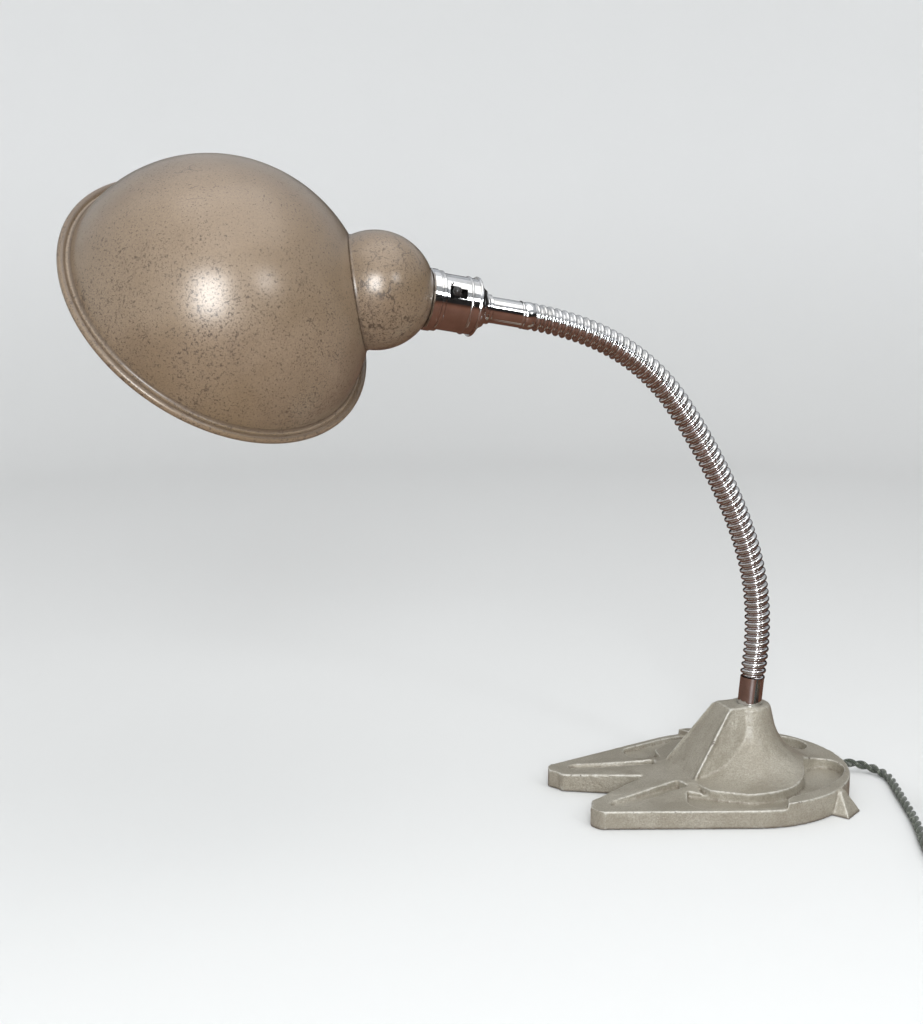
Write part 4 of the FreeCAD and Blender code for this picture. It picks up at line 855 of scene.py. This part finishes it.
def shell(name, rings, centre, inside_from):
    """A closed shell through rings of points, painted cream from the ring numbered inside_from on."""
    sides = len(rings[0])
    points = [centre + point for row in rings for point in row]
    rows = len(rings)
    faces = grid_faces(rows, sides)
    for side in range(sides):
        beside = (side + 1) % sides
        last = (rows - 1) * sides
        faces.append((last + side, last + beside, beside, side))
    piece = mesh_object(name, points, faces, PAINT["shade_paint"])
    piece.data.materials.append(PAINT["shade_inside"])
    for polygon in piece.data.polygons:
        polygon.material_index = int(polygon.index // sides >= inside_from)
    return piece


def dome_way():
    """The direction from the bowl's centre to the dome's, and how far it is in millimetres."""
    apart = dome_middle() - bowl_place().translation
    return apart.normalized(), apart.length / MM


def seam_distance(apart):
    """How far the circle where the bowl's and the dome's spheres meet is from the bowl's centre."""
    return (apart ** 2 + SHADE_RADIUS ** 2 - DOME_RADIUS ** 2) / (2 * apart)


def rim_rings(direction, sideways, sides):
    """The rolled rim's rings, round a wire outside the bowl's edge."""
    low = SHADE_RADIUS - SHADE_DEPTH
    found = []
    for step in range(27):
        turn = radians(-62 + 262 * step / 26)
        out = SHADE_RIM - RIM_BEAD + RIM_BEAD * sin(turn)
        high = low + 0.2 + RIM_BEAD * cos(turn)
        found.append(ring(sqrt(out ** 2 + high ** 2), atan2(out, high), direction, sideways, sides))
    return found


def bowl():
    """The shade's bowl: a spun shell with a rolled rim, and a round hole for the small dome."""
    sides = 240
    rows = 110
    axis = bowl_place().to_3x3() @ Vector((0, 0, 1))
    way, apart = dome_way()
    sideways = axis.cross(way)
    low = SHADE_RADIUS - SHADE_DEPTH
    inner = SHADE_RADIUS - SHADE_WALL
    hole = acos(seam_distance(apart) / SHADE_RADIUS) - 0.006
    edge = acos((low + RIM_OVERLAP) / SHADE_RADIUS)
    outside = rings_between(SHADE_RADIUS, (way, hole), (axis, edge), sideways, rows, sides)
    rim = rim_rings(axis, sideways, sides)
    edge = acos((low + RIM_OVERLAP - 0.2) / inner)
    inside = rings_between(inner, (way, hole), (axis, edge), sideways, rows, sides)
    rings = outside + rim + list(reversed(inside))
    piece = shell("bowl", rings, bowl_place().translation, len(outside) + len(rim) - 2)
    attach(piece, "shade")
    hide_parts("main_shade")


def dome():
    """The small dome: a spun shell, its lip turned out a little where it sits on the bowl."""
    sides = 200
    rows = 80
    way, apart = dome_way()
    back = head_place().to_3x3() @ Vector((0, 0, -1))
    sideways = back.cross(way)
    seam = seam_distance(apart) - apart
    edge = acos(seam / DOME_RADIUS)
    inner = DOME_RADIUS - SHADE_WALL
    seat = asin(SEAT_RADIUS / DOME_RADIUS)
    outside = rings_between(DOME_RADIUS, (back, seat), (way, edge), sideways, rows, sides)
    for row in outside:
        for point in row:
            above = point.dot(way) / MM - seam
            point *= 1 + 0.022 * max(0.0, 1 - above / SEAM_LIP) ** 2
    inside = rings_between(inner, (back, seat), (way, edge - 0.03), sideways, rows, sides)
    piece = shell("dome", outside + list(reversed(inside)), dome_middle(), len(outside))
    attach(piece, "shade")
    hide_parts("shade_neck_dome")


def plunger_springs():
    """The two springs behind the contact plungers, which in the lamp shorten as the plungers go in; here each gets
    its own mesh and rides with the head.
    """
    ahead = head_place().to_3x3() @ Vector((0, 0, 1))
    for word in ("left", "right"):
        node = frame["nodes"][f"plunger_spring_{word}"]
        mesh = node.data.copy()
        mesh.transform(node.matrix_world)
        mesh.materials.clear()
        mesh.materials.append(PAINT["steel"])
        piece = bpy.data.objects.new(f"spring_{word}", mesh)
        bpy.context.scene.collection.objects.link(piece)
        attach(piece, "head")
        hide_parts(f"plunger_spring_{word}")
        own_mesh(piece)


# ---- what the frame gives as it is ----------------------------------------------------------

def finish_cad_nodes():
    """Each frame node that still shows gets its slot's material."""
    for entry in frame["record"]["subparts"]:
        node = frame["nodes"][entry["node"]]
        node.data.materials.clear()
        node.data.materials.append(PAINT[entry["material_slot"]])


# ---- room, light and camera -----------------------------------------------------------------

def room():
    """A pale floor that sweeps up to a pale wall all round, well clear of the lamp."""
    flat = 1.6
    bend = 1.0
    profile = [(0.001, 0.0), (flat / 2, 0.0), (flat, 0.0)]
    for step in range(1, 13):
        turn = step / 12 * pi / 2
        profile.append((flat + bend * sin(turn), bend * (1 - cos(turn))))
    profile.append((flat + bend, 3.2))
    sides = 96
    points = []
    for radius, height in profile:
        for side in range(sides):
            angle = side / sides * 2 * pi
            points.append((-0.1 + radius * cos(angle), radius * sin(angle), height - 0.0002))
    floor = mesh_object("floor", points, grid_faces(len(profile), sides), floor_paint())


def soft_light(name, towards, distance, wide, high, power, tint=(1, 1, 1)):
    """A rectangular light, off in that direction from the lamp's middle and facing it."""
    data = bpy.data.lights.new(name, "AREA")
    data.shape = "RECTANGLE"
    data.size = wide
    data.size_y = high
    data.energy = power
    data.color = tint
    light = bpy.data.objects.new(name, data)
    bpy.context.scene.collection.objects.link(light)
    middle = Vector((-0.15, 0.0, 0.2))
    away = Vector(towards).normalized()
    light.location = middle + away * distance
    light.rotation_mode = "QUATERNION"
    light.rotation_quaternion = away.to_track_quat("Z", "Y")


def lighting():
    """Two window-like lights from the left and right, a wide one overhead, and an even pale room."""
    bpy.context.scene.view_settings.view_transform = "Standard"
    soft_light("window_left", (-0.295, -0.901, 0.319), 1.7, 0.55, 0.75, 22, (0.93, 0.97, 1.0))
    soft_light("window_right", (0.356, -0.81, 0.466), 1.7, 0.22, 0.26, 3.2, (0.95, 0.98, 1.0))
    soft_light("overhead", (0.1, -0.25, 1.0), 1.9, 1.8, 1.8, 10, (1.0, 0.985, 0.96))
    world = bpy.data.worlds.new("room_light")
    world.use_nodes = True
    world.node_tree.nodes["Background"].inputs["Color"].default_value = (0.95, 0.97, 1.0, 1.0)
    world.node_tree.nodes["Background"].inputs["Strength"].default_value = 0.84
    bpy.context.scene.world = world


def camera():
    """A view from in front and a little above, with the shade to the left."""
    data = bpy.data.cameras.new("camera")
    data.sensor_width = 36.0
    data.lens = 50.98
    data.clip_start = 0.01
    item = bpy.data.objects.new("camera", data)
    bpy.context.scene.collection.objects.link(item)
    item.location = (-0.480, -0.843, 0.356)
    down = radians(9.94)
    look = Vector((0.309 * cos(down), 0.951 * cos(down), -sin(down)))
    item.rotation_mode = "QUATERNION"
    item.rotation_quaternion = look.to_track_quat("-Z", "Y")
    bpy.context.scene.camera = item


# ---- build ----------------------------------------------------------------------------------

camera()
flex()
finish_cad_nodes()
base()
hose()
bowl()
dome()
plunger_springs()
room()
lighting()
